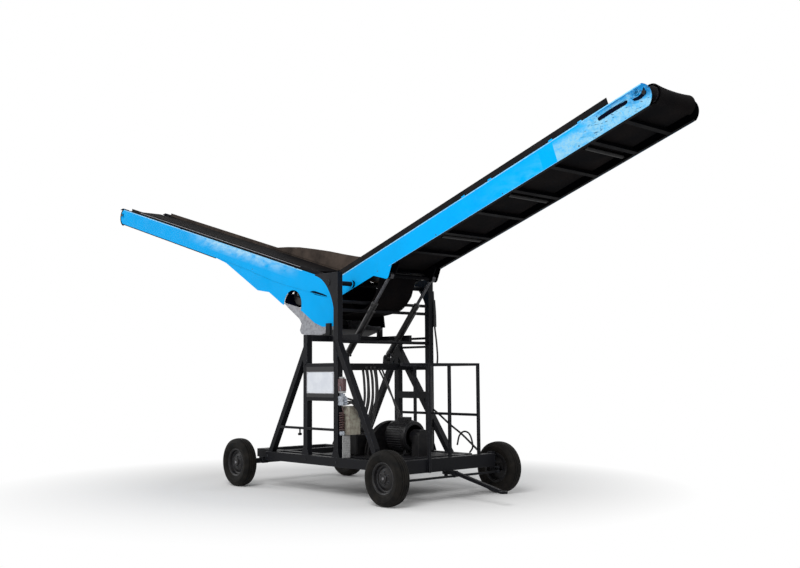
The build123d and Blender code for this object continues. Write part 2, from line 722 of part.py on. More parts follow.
yoke_top = end_beam_bottom - knuckle_gap
yoke_bottom = tie_height + tie_eye / 2 + knuckle_gap
yoke_width = 70.0
bar_start = tie_x + 40.0
bar_end = (2400.0, 160.0)
bar_half = 20.0
tow_eye_radius = 48.0
tow_eye_bore = 24.0
tow_eye_thickness = 28.0

with BuildPart() as drawbar:
    block(front_axle, bar_start, -yoke_width / 2, yoke_width / 2, yoke_bottom, yoke_top)
    round_upright(front_axle, 0, 2 * swivel_radius, yoke_bottom, yoke_top)
    round_upright(tie_x, 0, tie_pin_radius, tie_height - tie_eye / 2, yoke_top)
    raker((bar_start - bar_half, yoke_top - bar_half), bar_end, 2 * bar_half, -bar_half, bar_half)
    eye_x = bar_end[0] + tow_eye_radius / 2
    eye_low = bar_end[1] - tow_eye_thickness / 2
    round_upright(eye_x, 0, tow_eye_radius, eye_low, eye_low + tow_eye_thickness)
    round_upright(eye_x, 0, tow_eye_radius, eye_low + tow_eye_thickness, end_beam_top, Mode.SUBTRACT)
    round_upright(eye_x, 0, tow_eye_radius, 0, eye_low, Mode.SUBTRACT)
    round_upright(eye_x, 0, tow_eye_bore, 0, end_beam_top, Mode.SUBTRACT)
    round_upright(front_axle, 0, swivel_radius + running_fit, 0, 2 * end_beam_top, Mode.SUBTRACT)
finish(drawbar.part, "drawbar")

# Wheels: tyre and rim turned about their axle
rim_radius = 182.0
rim_seat = 170.0
rim_inner = 160.0
rim_half = 64.0
tread_half = 66.0
shoulder_radius = 311.0
bulge_radius = 248.0
bead_half = 58.0
groove = 8.0
groove_depth = 8.0
groove_places = (-34.0, 0.0, 34.0)
hub_radius = 50.0
hub_inner = -70.0
hub_outer = 62.0
hub_bore_end = 50.0
disc_face = 24.0
disc_thickness = 8.0
cap_radius = 34.0

corners = (
    ("near_front", front_axle, -1), ("far_front", front_axle, 1),
    ("near_rear", rear_axle, -1), ("far_rear", rear_axle, 1),
)
for corner_name, x, side in corners:
    centre = Vector(gantry_x + x, side * half_track, axle_height)
    turn_plane = Plane(centre, x_dir=(1, 0, 0), z_dir=(0, 0, side))
    turn_axis = Axis(centre, (0, 1, 0))
    with BuildPart() as tyre:
        with BuildSketch(turn_plane):
            with BuildLine():
                seat = rim_seat + face_gap
                Polyline((shoulder_radius, -tread_half), (shoulder_radius - 6 * face_gap, -tread_half - 6 * face_gap))
                low = (shoulder_radius - 6 * face_gap, -tread_half - 6 * face_gap)
                ThreePointArc(low, (bulge_radius, -tyre_width / 2), (seat + 2 * groove, -bead_half))
                Polyline((seat + 2 * groove, -bead_half), (seat, -bead_half), (seat, bead_half), (seat + 2 * groove, bead_half))
                high = (shoulder_radius - 6 * face_gap, tread_half + 6 * face_gap)
                ThreePointArc((seat + 2 * groove, bead_half), (bulge_radius, tyre_width / 2), high)
                Line(high, (shoulder_radius, tread_half))
                ThreePointArc((shoulder_radius, tread_half), (tyre_diameter / 2, 0), (shoulder_radius, -tread_half))
            make_face()
        revolve(axis=turn_axis)
        for place in groove_places:
            with BuildSketch(turn_plane):
                with Locations((tyre_diameter / 2, place)):
                    Rectangle(2 * groove_depth, groove)
            revolve(axis=turn_axis, mode=Mode.SUBTRACT)
    finish(tyre.part, f"{corner_name}_tyre")
    with BuildPart() as rim:
        with BuildSketch(turn_plane):
            with BuildLine():
                lip = bead_half + face_gap
                Polyline(
                    (spindle_radius + running_fit, hub_inner), (hub_radius, hub_inner), (hub_radius, disc_face - disc_thickness),
                    (rim_inner, disc_face - disc_thickness), (rim_inner, -rim_half), (rim_radius, -rim_half), (rim_radius, -lip),
                    (rim_seat, -lip), (rim_seat, lip), (rim_radius, lip), (rim_radius, rim_half), (rim_inner, rim_half),
                    (rim_inner, disc_face), (hub_radius, disc_face), (cap_radius, hub_outer), (0, hub_outer),
                    (0, hub_bore_end), (spindle_radius + running_fit, hub_bore_end), close=True,
                )
            make_face()
        revolve(axis=turn_axis)
    finish(rim.part, f"{corner_name}_rim")

# Power unit and controls on the base
tank_x = (40.0, 370.0)
tank_y = (-440.0, -120.0)
tank_top = 745.0
motor_radius = 205.0
motor_x = (510.0, 870.0)
motor_y = 90.0
motor_z = 710.0
motor_feet = (560.0, 780.0)
motor_foot = 40.0
motor_half = 150.0
pump_x = (870.0, 1040.0)
pump_radius = 95.0
pump_box = 120.0

with BuildPart() as oil_tank:
    block(*tank_x, *tank_y, beam_top, tank_top)
finish(oil_tank.part, "oil_tank")

with BuildPart() as motor:
    with Locations(Location((gantry_x + sum(motor_x) / 2, motor_y, motor_z), (0, 90, 0))):
        Cylinder(motor_radius, motor_x[1] - motor_x[0])
    for x in motor_feet:
        block(x, x + motor_foot, motor_y - motor_half, motor_y + motor_half, beam_top, motor_z - motor_radius / 2)
finish(motor.part, "motor")

with BuildPart() as pump:
    with Locations(Location((gantry_x + sum(pump_x) / 2, motor_y, motor_z), (0, 90, 0))):
        Cylinder(pump_radius, pump_x[1] - pump_x[0])
    block(pump_x[1] - pump_box, pump_x[1], motor_y - pump_radius, motor_y + pump_radius, beam_top, motor_z)
finish(pump.part, "pump")

case_x = (440.0, 600.0)
case_inner = 570.0
case_z = (760.0, 1105.0)
valve_x = (right_post + tube, 560.0)
valve_y = (-815.0, -745.0)
valve_z = (1110.0, 1235.0)
coil_x = 506.0
coil_radius = 32.0
coil_low = 780.0
switch_z = (1395.0, 1450.0)
stay_x = (535.0, 541.0)
stay_y = (-800.0, -680.0)
stay_top = 750.0

with BuildPart() as control_box:
    block(*case_x, -post_inner, -case_inner, *case_z)
finish(control_box.part, "control_box")

with BuildPart() as valve_block:
    block(*valve_x, *valve_y, *valve_z)
    round_upright(coil_x, sum(valve_y) / 2, coil_radius, coil_low, valve_z[0])
    block(*valve_x, *valve_y, *switch_z)
    block(*stay_x, *stay_y, beam_top, stay_top)
finish(valve_block.part, "valve_block")

plate_inset = 8.0
with BuildPart() as blank_plate:
    block(left_post + tube - plate_inset, right_post + plate_inset, -half_gantry - guard_sheet, -half_gantry,
          lower_rung + rung_height / 2, upper_rung + rung_height / 2)
finish(blank_plate.part, "blank_plate")
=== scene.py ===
import math

import bmesh
import bpy
from mathutils import Matrix, Vector


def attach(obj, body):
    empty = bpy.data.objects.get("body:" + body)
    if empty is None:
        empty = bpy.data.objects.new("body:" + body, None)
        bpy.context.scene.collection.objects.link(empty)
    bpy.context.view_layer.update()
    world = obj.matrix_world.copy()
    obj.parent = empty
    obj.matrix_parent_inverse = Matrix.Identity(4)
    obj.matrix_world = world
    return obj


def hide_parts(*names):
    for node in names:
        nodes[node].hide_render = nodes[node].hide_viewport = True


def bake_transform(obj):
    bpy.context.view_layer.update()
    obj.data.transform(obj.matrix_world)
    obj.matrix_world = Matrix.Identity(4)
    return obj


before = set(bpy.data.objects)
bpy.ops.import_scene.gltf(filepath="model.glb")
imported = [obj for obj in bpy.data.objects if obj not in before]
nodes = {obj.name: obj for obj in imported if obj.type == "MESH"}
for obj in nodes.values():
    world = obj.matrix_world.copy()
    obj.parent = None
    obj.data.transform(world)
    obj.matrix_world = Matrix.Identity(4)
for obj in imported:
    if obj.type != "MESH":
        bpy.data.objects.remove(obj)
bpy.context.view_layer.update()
print("frame loaded:", len(nodes), "nodes")

# Places shared with the part, in metres. gantryX is the gantry's own zero along X.
machine = {
    "gantryX": 0.71605, "apexX": 0.59105, "apexZ": 2.715,
    "rightSlope": 18.0, "leftSlope": 16.0,
    "halfBoom": 0.42, "halfGantry": 0.82, "halfTrack": 0.94,
    "axle": 1.51, "axleZ": 0.32,
    "liftPin": (0.05, 1.71), "liftLug": (1.0, -0.335), "liftY": 0.356,
}
alongX, alongY, alongZ = Vector((1, 0, 0)), Vector((0, 1, 0)), Vector((0, 0, 1))


def gantryPoint(x, z, y=0.0):
    return Vector((machine["gantryX"] + x, y, z))


def rightPoint(u, v, y=0.0):
    # u runs out along the right boom and v up from its top edge
    a = math.radians(machine["rightSlope"])
    return Vector((machine["apexX"] + u * math.cos(a) - v * math.sin(a), y,
                   machine["apexZ"] + u * math.sin(a) + v * math.cos(a)))


def leftPoint(u, v, y=0.0):
    a = math.radians(machine["leftSlope"])
    return Vector((machine["apexX"] - u * math.cos(a) + v * math.sin(a), y,
                   machine["apexZ"] + u * math.sin(a) + v * math.cos(a)))


# Camera at the photograph's angle
cameraLook = {
    "place": (9.9526, -8.3634, 1.5), "yaw": 137.74, "pitch": 4.809, "roll": -0.402,
    "lens": 44.237, "shiftX": -0.0022, "shiftY": 0.0084, "clipEnd": 200,
}


def setCamera(look):
    yaw, pitch, roll = (math.radians(look[k]) for k in ("yaw", "pitch", "roll"))
    ahead = Vector((math.cos(yaw) * math.cos(pitch), math.sin(yaw) * math.cos(pitch), math.sin(pitch)))
    right = ahead.cross(alongZ).normalized()
    up = right.cross(ahead)
    right, up = (math.cos(roll) * right + math.sin(roll) * up, math.cos(roll) * up - math.sin(roll) * right)
    turn = Matrix((right, up, -ahead)).transposed().to_4x4()
    data = bpy.data.cameras.new("photoCamera")
    data.lens = look["lens"]
    data.shift_x = look["shiftX"]
    data.shift_y = look["shiftY"]
    data.clip_end = look["clipEnd"]
    cam = bpy.data.objects.new("photoCamera", data)
    place = Vector(look["place"]) + alongX * machine["gantryX"]
    cam.matrix_world = Matrix.Translation(place) @ turn
    bpy.context.scene.collection.objects.link(cam)
    bpy.context.scene.camera = cam


setCamera(cameraLook)
print("camera set")


# Material tools: each returns the socket that the next one takes
class Shade:
    def __init__(self, name):
        self.material = bpy.data.materials.new(name)
        self.material.use_nodes = True
        self.tree = self.material.node_tree
        self.bsdf = self.tree.nodes["Principled BSDF"]
        self.place = self.add("ShaderNodeTexCoord").outputs["Object"]
        self.geometry = self.add("ShaderNodeNewGeometry")

    def add(self, kind, **values):
        node = self.tree.nodes.new(kind)
        for key, value in values.items():
            setattr(node, key, value)
        return node

    def put(self, socket, value):
        if isinstance(value, bpy.types.NodeSocket):
            self.tree.links.new(value, socket)
        else:
            socket.default_value = value

    def tint(self, socket, color):
        self.put(socket, color if isinstance(color, bpy.types.NodeSocket) else (*color, 1.0))

    def math(self, kind, a, b=0.0):
        node = self.add("ShaderNodeMath", operation=kind)
        self.put(node.inputs[0], a)
        self.put(node.inputs[1], b)
        return node.outputs[0]

    def both(self, a, b):
        return self.math("MULTIPLY", a, b)

    def fold(self, kind, parts):
        total = parts[0]
        for part in parts[1:]:
            total = self.math(kind, total, part)
        return total

    def stretched(self, scale):
        node = self.add("ShaderNodeMapping")
        self.put(node.inputs["Vector"], self.place)
        node.inputs["Scale"].default_value = scale
        return node.outputs[0]

    def noise(self, scale, detail=4.0, rough=0.55, place=None):
        node = self.add("ShaderNodeTexNoise")
        self.put(node.inputs["Vector"], place or self.place)
        node.inputs["Scale"].default_value = scale
        node.inputs["Detail"].default_value = detail
        node.inputs["Roughness"].default_value = rough
        return node.outputs["Fac"]

    def band(self, value, low, high):
        # 0 at low and 1 at high
        node = self.add("ShaderNodeMapRange", clamp=True)
        self.put(node.inputs["Value"], value)
        node.inputs["From Min"].default_value = low
        node.inputs["From Max"].default_value = high
        return node.outputs[0]

    def mix(self, amount, first, second):
        # colour sockets of this node are 6 and 7, its colour output is 2
        node = self.add("ShaderNodeMix", data_type="RGBA")
        self.put(node.inputs[0], amount)
        self.tint(node.inputs[6], first)
        self.tint(node.inputs[7], second)
        return node.outputs[2]

    def axis(self, name, source=None):
        node = self.add("ShaderNodeSeparateXYZ")
        self.put(node.inputs[0], source or self.place)
        return node.outputs[name]

    def along(self, direction, origin):
        shift = self.add("ShaderNodeVectorMath", operation="SUBTRACT")
        self.put(shift.inputs[0], self.place)
        shift.inputs[1].default_value = origin
        dot = self.add("ShaderNodeVectorMath", operation="DOT_PRODUCT")
        self.put(dot.inputs[0], shift.outputs[0])
        dot.inputs[1].default_value = direction
        return dot.outputs["Value"]

    def edges(self, radius, low=0.02, high=0.22):
        # 1 on outside corners: where a rounded normal leaves the flat one
        bevel = self.add("ShaderNodeBevel", samples=4)
        bevel.inputs["Radius"].default_value = radius
        dot = self.add("ShaderNodeVectorMath", operation="DOT_PRODUCT")
        self.put(dot.inputs[0], bevel.outputs[0])
        self.put(dot.inputs[1], self.geometry.outputs["Normal"])
        return self.band(self.math("SUBTRACT", 1.0, dot.outputs["Value"]), low, high)

    def facingUp(self, low=0.55, high=0.95):
        return self.band(self.axis("Z", self.geometry.outputs["Normal"]), low, high)

    def grain(self, scale, detail, strength, distance):
        node = self.add("ShaderNodeBump")
        self.put(node.inputs["Height"], self.noise(scale, detail))
        node.inputs["Strength"].default_value = strength
        node.inputs["Distance"].default_value = distance
        self.put(self.bsdf.inputs["Normal"], node.outputs[0])

    def surface(self, color, rough, metal=0.0, specular=None):
        self.tint(self.bsdf.inputs["Base Color"], color)
        self.put(self.bsdf.inputs["Roughness"], rough)
        self.put(self.bsdf.inputs["Metallic"], metal)
        if specular is not None:
            self.bsdf.inputs["Specular IOR Level"].default_value = specular
        return self.material


# Black paint of the gantry, dusty on top, with lighter edges that are partly wear and partly a painted highlight
steelPaint = {
    "color": (0.0032, 0.0034, 0.0048), "patchNoise": (5.0, 5.0), "patchBand": (0.4, 0.75), "patchLift": 1.9,
    "dust": (0.020, 0.018, 0.018), "dustNoise": (24.0, 4.0), "dustBand": (0.35, 0.7), "dustAmount": 0.7,
    # edge is the lighter colour of the edges: partly wear, partly a painted highlight
    "edge": (0.11, 0.113, 0.125), "edgeRadius": 0.005, "wearNoise": (16.0, 6.0), "wearBand": (0.3, 0.6),
    "grain": (260.0, 2.0, 0.25, 0.0006), "roughBand": (-0.6, 1.5), "specular": 0.13,
}


def makeBlackSteel(name, look):
    s = Shade(name)
    patches = s.noise(*look["patchNoise"])
    lifted = [c * look["patchLift"] for c in look["color"]]
    color = s.mix(s.band(patches, *look["patchBand"]), look["color"], lifted)
    dusty = s.both(s.facingUp(), s.band(s.noise(*look["dustNoise"]), *look["dustBand"]))
    color = s.mix(s.both(dusty, look["dustAmount"]), color, look["dust"])
    # edges lighter where the noise lets them through: partly wear, partly a painted highlight
    patchy = s.both(s.edges(look["edgeRadius"]), s.band(s.noise(*look["wearNoise"]), *look["wearBand"]))
    color = s.mix(patchy, color, look["edge"])
    s.grain(*look["grain"])
    return s.surface(color, s.band(patches, *look["roughBand"]), 0.0, look["specular"])


# Blue paint of the booms. A mark's patches lie between spans of u and v, where it fades in.
boomPaint = {
    "blue": (0.0, 0.42, 0.94), "fadeNoise": (3.0, 5.0), "fadeBand": (0.42, 0.7), "faded": 0.93,
    # the lighter inside-edge colour is a painted highlight on the black
    "inside": (0.0016, 0.0016, 0.0026), "insideEdgeHighlight": (0.012, 0.011, 0.012), "edgeRadius": 0.004,
    "skin": 0.0012, "facing": (0.4, 0.5), "grain": (9.0, 3.0, 0.25, 0.006),
    "roughNoise": (4.0, 4.0), "roughBand": (-0.3, 1.7), "specular": 0.03,
    "specks": {"color": (0.02, 0.12, 0.3), "amount": 0.5, "noise": (55.0, 3.0, 0.55), "cover": (0.69, 0.74)},
    "rightMarks": [
        # pale wash along the foot
        {"color": (0.07, 0.52, 0.90), "amount": 0.75, "noise": (1.0, 6.0, 0.62), "stretch": (5.0, 5.0, 12.0),
         "cover": (0.4, 0.62), "patches": [{"u": (2.3, 3.7), "v": (-0.02, -0.24), "to": 3.66}]},
        # chalk beyond the seam
        {"color": (0.27, 0.57, 0.77), "amount": 1.0, "noise": (1.0, 6.0, 0.62), "stretch": (5.0, 5.0, 12.0),
         "cover": (0.22, 0.5), "patches": [{"v": (-0.02, -0.10), "from": 3.86}, {"u": (4.2, 4.35), "from": 3.86}]},
        # darker streaks in the chalk
        {"color": (0.03, 0.38, 0.74), "amount": 0.8, "noise": (2.2, 7.0, 0.7), "stretch": (3.0, 3.0, 9.0),
         "cover": (0.5, 0.66), "patches": [{"u": (3.7, 4.3)}]},
        # bruises along the top near the tip, and round the hub
        {"color": (0.0, 0.17, 0.46), "amount": 0.95, "noise": (9.0, 6.0, 0.75), "cover": (0.28, 0.48),
         "patches": [{"u": (4.35, 4.6), "v": (-0.075, -0.02)}, {"u": (4.80, 4.90), "v": (-0.17, -0.12)}]},
        # flecks of the blue that is left
        {"color": (0.0, 0.42, 0.94), "amount": 0.55, "noise": (42.0, 5.0, 0.7), "cover": (0.50, 0.66),
         "patches": [{"u": (3.87, 3.9)}]},
        # dark scratches
        {"color": (0.0, 0.02, 0.09), "amount": 0.8, "noise": (1.0, 5.0, 0.6), "stretch": (14.0, 14.0, 50.0),
         "cover": (0.59, 0.64), "patches": [{"u": (4.1, 4.4)}]},
    ],
    "leftMarks": [
        # glare under the lip
        {"color": (0.5, 0.80, 0.97), "amount": 0.9, "noise": (1.0, 6.0, 0.62), "stretch": (5.0, 5.0, 12.0),
         "cover": (0.3, 0.6), "patches": [{"u": (3.9, 3.0), "u2": (0.75, 1.6), "v": (-0.17, -0.02)}]},
        # stains
        {"color": (0.0, 0.18, 0.5), "amount": 0.5, "noise": (9.0, 6.0, 0.7), "cover": (0.62, 0.74),
         "patches": [{"u": (2.0, 3.0)}]},
    ],
}


def patchMask(s, u, v, patch):
    # from and to cut a patch off square
    parts = [s.band(place, *patch[key]) for key, place in (("u", u), ("u2", u), ("v", v)) if key in patch]
    if "from" in patch:
        parts.append(s.math("GREATER_THAN", u, patch["from"]))
    if "to" in patch:
        parts.append(s.math("LESS_THAN", u, patch["to"]))
    return s.fold("MULTIPLY", parts)


def markMask(s, u, v, mark):
    place = s.stretched(mark["stretch"]) if "stretch" in mark else None
    shown = s.band(s.noise(*mark["noise"], place), *mark["cover"])
    if "patches" in mark:
        shown = s.both(shown, s.fold("MAXIMUM", [patchMask(s, u, v, patch) for patch in mark["patches"]]))
    return s.both(shown, mark["amount"])


def makeBoomPaint(name, look, marks, slope, way):
    # Blue on the outer side faces, black inside; way is 1 for the right boom and -1 for the left
    s = Shade(name)
    a = math.radians(slope)
    origin = (machine["apexX"], 0, machine["apexZ"])
    u = s.along((way * math.cos(a), 0, math.sin(a)), origin)
    v = s.along((-way * math.sin(a), 0, math.cos(a)), origin)
    faded = [c * look["faded"] for c in look["blue"]]
    blue = s.mix(s.band(s.noise(*look["fadeNoise"]), *look["fadeBand"]), look["blue"], faded)
    for mark in marks + [look["specks"]]:
        blue = s.mix(markMask(s, u, v, mark), blue, mark["color"])
    outside = s.math("GREATER_THAN", s.math("ABSOLUTE", s.axis("Y")), machine["halfBoom"] - look["skin"])
    sideways = s.math("ABSOLUTE", s.axis("Y", s.geometry.outputs["Normal"]))
    outside = s.both(outside, s.band(sideways, *look["facing"]))
    # black inside, with a painted highlight on its edges
    inside = s.mix(s.edges(look["edgeRadius"]), look["inside"], look["insideEdgeHighlight"])
    s.grain(*look["grain"])
    rough = s.band(s.noise(*look["roughNoise"]), *look["roughBand"])
    return s.surface(s.mix(outside, inside, blue), rough, 0.0, look["specular"])


def makeRubber(name, look):
    s = Shade(name)
    grime = s.band(s.noise(look["scale"], 6.0, 0.6), 0.35, 0.7)
    color = s.mix(s.both(grime, look["amount"]), look["base"], look["dust"])
    if "flap" in look:
        # only the flap stands outside this y, and it is dusty brown
        flap = look["flap"]
        patchy = s.mix(s.band(s.noise(flap["scale"], 6.0, 0.6), 0.35, 0.65), flap["base"], flap["dark"])
        color = s.mix(s.math("GREATER_THAN", s.axis("Y"), flap["yFrom"]), color, patchy)
    s.grain(look["grain"], 3.0, 0.4, 0.002)
    return s.surface(color, look["rough"], 0.0, look["specular"])


def makeSheet(name, look):
    # A sheet that is dark inside a level of |y|, or outside a range of z
    s = Shade(name)
    color = s.mix(s.band(s.noise(look["scale"], 6.0, 0.6), 0.4, 0.66), look["base"], look["second"])
    # lighter colour at the edges: partly wear, partly a painted highlight
    color = s.mix(s.edges(0.004), color, look["edge"])
    if "yFrom" in look:
        seen = s.math("GREATER_THAN", s.math("ABSOLUTE", s.axis("Y")), look["yFrom"])
    else:
        z = s.axis("Z")
        seen = s.both(s.math("GREATER_THAN", z, look["zFrom"]), s.math("LESS_THAN", z, look["zTo"]))
    s.grain(look["scale"] * 9, 4.0, 0.35, look["bump"])
    return s.surface(s.mix(seen, look["dark"], color), look["rough"], look["metal"])


def makeMetal(name, look):
    s = Shade(name)
    color = s.mix(s.band(s.noise(look["scale"], 6.0, 0.6), 0.4, 0.66), look["base"], look["second"])
    # where an edge colour is given, the edges turn lighter: partly wear, partly a painted highlight
    if "edge" in look:
        color = s.mix(s.edges(0.004), color, look["edge"])
    s.grain(look["scale"] * 12, 3.0, 0.3, look.get("bump", 0.0008))
    return s.surface(color, look["rough"], look["metal"], look.get("specular"))


blackSteel = makeBlackSteel("blackSteel", steelPaint)
rightPaint = makeBoomPaint("rightBoomPaint", boomPaint, boomPaint["rightMarks"], machine["rightSlope"], 1)
leftPaint = makeBoomPaint("leftBoomPaint", boomPaint, boomPaint["leftMarks"], machine["leftSlope"], -1)
beltRubber = makeRubber("beltRubber", {
    "base": (0.0018, 0.0018, 0.0026), "dust": (0.0085, 0.0062, 0.0058), "amount": 0.8, "scale": 3.0,
    "grain": 120.0, "rough": 0.78, "specular": 0.05})
skirtRubber = makeRubber("skirtRubber", {
    "base": (0.004, 0.004, 0.005), "dust": (0.02, 0.018, 0.018), "amount": 0.5, "scale": 6.0,
    "grain": 150.0, "rough": 0.7, "specular": 0.08,
    "flap": {"yFrom": 0.36, "base": (0.105, 0.080, 0.066), "dark": (0.045, 0.035, 0.030), "scale": 4.0}})
tyreRubber = makeRubber("tyreRubber", {
    "base": (0.0045, 0.0045, 0.0045), "dust": (0.020, 0.017, 0.014), "amount": 0.7, "scale": 9.0,
    "grain": 140.0, "rough": 0.6, "specular": 0.08})
hoseRubber = makeRubber("hoseRubber", {
    "base": (0.004, 0.004, 0.005), "dust": (0.012, 0.011, 0.011), "amount": 0.6, "scale": 20.0,
    "grain": 200.0, "rough": 0.45, "specular": 0.4})
greySheet = makeSheet("greySheet", {
    "base": (0.34, 0.35, 0.38), "second": (0.19, 0.19, 0.21), "edge": (0.55, 0.55, 0.58),
    "dark": (0.006, 0.006, 0.007), "yFrom": 0.4085, "scale": 26.0, "rough": 0.6, "bump": 0.003, "metal": 0.1})
whiteSheet = makeSheet("whiteSheet", {
    "base": (0.74, 0.77, 0.82), "second": (0.66, 0.69, 0.75), "edge": (0.7, 0.7, 0.72),
    "dark": (0.0045, 0.0048, 0.0065), "zFrom": 1.258, "zTo": 1.526,
    "scale": 9.0, "rough": 0.4, "bump": 0.0008, "metal": 0.1})
# rim black, its lighter edges partly a painted highlight
rimPaint = makeMetal("rimPaint", {
    "base": (0.006, 0.0062, 0.008), "second": (0.018, 0.016, 0.015), "edge": (0.14, 0.14, 0.15),
    "scale": 22.0, "rough": 0.38, "metal": 0.2, "specular": 0.3})
bareSteel = makeMetal("bareSteel", {
    "base": (0.28, 0.28, 0.30), "second": (0.16, 0.15, 0.15), "scale": 30.0, "rough": 0.32, "metal": 0.9})
# cylinder barrels black, their lighter edges partly a painted highlight
barrelBlack = makeMetal("barrelBlack", {
    "base": (0.005, 0.005, 0.0065), "second": (0.012, 0.011, 0.011), "edge": (0.10, 0.10, 0.11),
    "scale": 30.0, "rough": 0.3, "metal": 0.0, "bump": 0.0004, "specular": 0.5})
ramSteel = makeMetal("ramSteel", {
    "base": (0.10, 0.10, 0.11), "second": (0.05, 0.05, 0.055), "scale": 25.0, "rough": 0.3, "metal": 0.85})
engineBlack = makeMetal("engineBlack", {
    "base": (0.005, 0.005, 0.0065), "second": (0.013, 0.012, 0.012), "edge": (0.08, 0.08, 0.085),
    "scale": 18.0, "rough": 0.34, "metal": 0.0, "specular": 0.2})
caseGrey = makeMetal("caseGrey", {
    "base": (0.36, 0.35, 0.28), "second": (0.20, 0.165, 0.14), "edge": (0.42, 0.4, 0.36),
    "scale": 22.0, "rough": 0.6, "metal": 0.1})
valveGrey = makeMetal("valveGrey", {
    "base": (0.42, 0.46, 0.52), "second": (0.16, 0.17, 0.19), "edge": (0.7, 0.72, 0.76),
    "scale": 45.0, "rough": 0.4, "metal": 0.4})
stayGrey = makeMetal("stayGrey", {
    "base": (0.46, 0.46, 0.46), "second": (0.24, 0.24, 0.24), "edge": (0.6, 0.6, 0.6),
    "scale": 60.0, "rough": 0.5, "metal": 0.2})
switchRed = makeMetal("switchRed", {
    "base": (0.13, 0.065, 0.068), "second": (0.05, 0.028, 0.032), "edge": (0.45, 0.3, 0.3),
    "scale": 55.0, "rough": 0.5, "metal": 0.0})
hoseRed = makeMetal("hoseRed", {
    "base": (0.085, 0.035, 0.032), "second": (0.02, 0.011, 0.012), "edge": (0.25, 0.14, 0.13),
    "scale": 60.0, "rough": 0.5, "metal": 0.0})
# pale blue of the lips along the boom edges: a painted highlight
lipHighlight = makeMetal("lipHighlight", {
    "base": (0.25, 0.66, 0.97), "second": (0.10, 0.50, 0.92), "scale": 30.0, "rough": 0.4, "metal": 0.0})
# near-black sheet: on the take-up slot and the slit by the fold it is painted shade
slotDark = makeMetal("slotDark", {
    "base": (0.0012, 0.002, 0.008), "second": (0.002, 0.004, 0.016), "scale": 30.0, "rough": 0.8, "metal": 0.0,
    "specular": 0.03})
print("materials made")

# Finishes of the part's own nodes; the rest is black steel
nodeFinish = {
    "right_boom_frame": rightPaint, "left_boom_frame": leftPaint,
    "left_belt": beltRubber, "right_belt": beltRubber,
    "right_skirts": skirtRubber, "left_skirts": skirtRubber,
    "near_rod": ramSteel, "far_rod": ramSteel, "near_barrel": barrelBlack, "far_barrel": barrelBlack,
    "tail_drum": engineBlack, "head_drum": engineBlack, "drive_drum": engineBlack,
    "left_rollers": engineBlack, "right_rollers": engineBlack,
    "drum_guard": greySheet, "valve_block": caseGrey, "control_box": caseGrey, "blank_plate": whiteSheet,
    "motor": engineBlack, "pump": engineBlack, "oil_tank": engineBlack,
}
for name, node in nodes.items():
    finish = nodeFinish.get(name, blackSteel)
    if name.endswith("_tyre"):
        finish = tyreRubber
    if name.endswith("_rim"):
        finish = rimPaint
    node.data.materials.clear()
    node.data.materials.append(finish)


# Mesh tools
def finished(name, bm):
    bmesh.ops.recalc_face_normals(bm, faces=bm.faces)
    mesh = bpy.data.meshes.new(name)
    bm.to_mesh(mesh)
    bm.free()
    return mesh


def softEdges(mesh, angle):
    # Smooth faces, with sharp edges kept above the angle
    bm = bmesh.new()
    bm.from_mesh(mesh)
    for edge in bm.edges:
        edge.smooth = len(edge.link_faces) == 2 and edge.calc_face_angle(0) < math.radians(angle)
    for face in bm.faces:
        face.smooth = True
    bm.to_mesh(mesh)
    bm.free()


def addPiece(name, bm, finish, body, smoothTo=None):
    # smoothTo is the angle up to which its edges look round
    mesh = finished(name, bm)
    if smoothTo:
        softEdges(mesh, smoothTo)
    piece = bpy.data.objects.new(name, mesh)
    bpy.context.scene.collection.objects.link(piece)
    mesh.materials.append(finish)
    if body:
        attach(piece, body)
    return piece


def joinRings(bm, rings):
    # Faces between closed rings of vertices
    for ring, after in zip(rings, rings[1:]):
        for k in range(len(ring)):
            j = (k + 1) % len(ring)
            bm.faces.new((ring[k], ring[j], after[j], after[k]))


def closeEnds(bm, rings):
    bm.faces.new(rings[0][::-1])
    bm.faces.new(rings[-1])


def circle(bm, place, side, up, radius, steps):
    return [bm.verts.new(place + side * (radius * math.cos(2 * math.pi * k / steps))
                         + up * (radius * math.sin(2 * math.pi * k / steps))) for k in range(steps)]


def turned(bm, profile, centre, side, steps):
    # Turns a closed line of (radius, y) points round the wheel's axle; side flips the outer face
    rings = []
    for k in range(steps):
        a = 2 * math.pi * k / steps
        rings.append([bm.verts.new((centre[0] + r * math.cos(a), centre[1] + side * y, centre[2] + r * math.sin(a)))
                      for r, y in profile])
    joinRings(bm, rings + rings[:1])


def addBar(bm, start, end, width, depth, across, soft):
    # A straight bar with softened edges: width along across, depth square to both
    way = (end - start).normalized()
    side = (across - across.dot(way) * way).normalized()
    up = side.cross(way)
    corners = [(side * (i * width / 2) + up * (j * depth / 2)) for i, j in ((-1, -1), (1, -1), (1, 1), (-1, 1))]
    addPrism(bm, [start + c for c in corners], [end + c for c in corners], soft, True)


def addPlate(bm, outline, place, yLow, yHigh, soft=0.0):
    # A flat plate: an outline in (u, v), set by place(u, v, y), between two y values
    addPrism(bm, [place(u, v, yLow) for u, v in outline], [place(u, v, yHigh) for u, v in outline], soft, False)


def addPrism(bm, lowPoints, highPoints, soft, softSides):
    low = [bm.verts.new(p) for p in lowPoints]
    high = [bm.verts.new(p) for p in highPoints]
    count = len(low)
    faces = [bm.faces.new(low[::-1]), bm.faces.new(high)]
    faces += [bm.faces.new((low[i], low[(i + 1) % count], high[(i + 1) % count], high[i])) for i in range(count)]
    if soft:
        edges = list({e for f in (faces if softSides else faces[:2]) for e in f.edges})
        bmesh.ops.bevel(bm, geom=edges, offset=soft, segments=1, affect="EDGES")


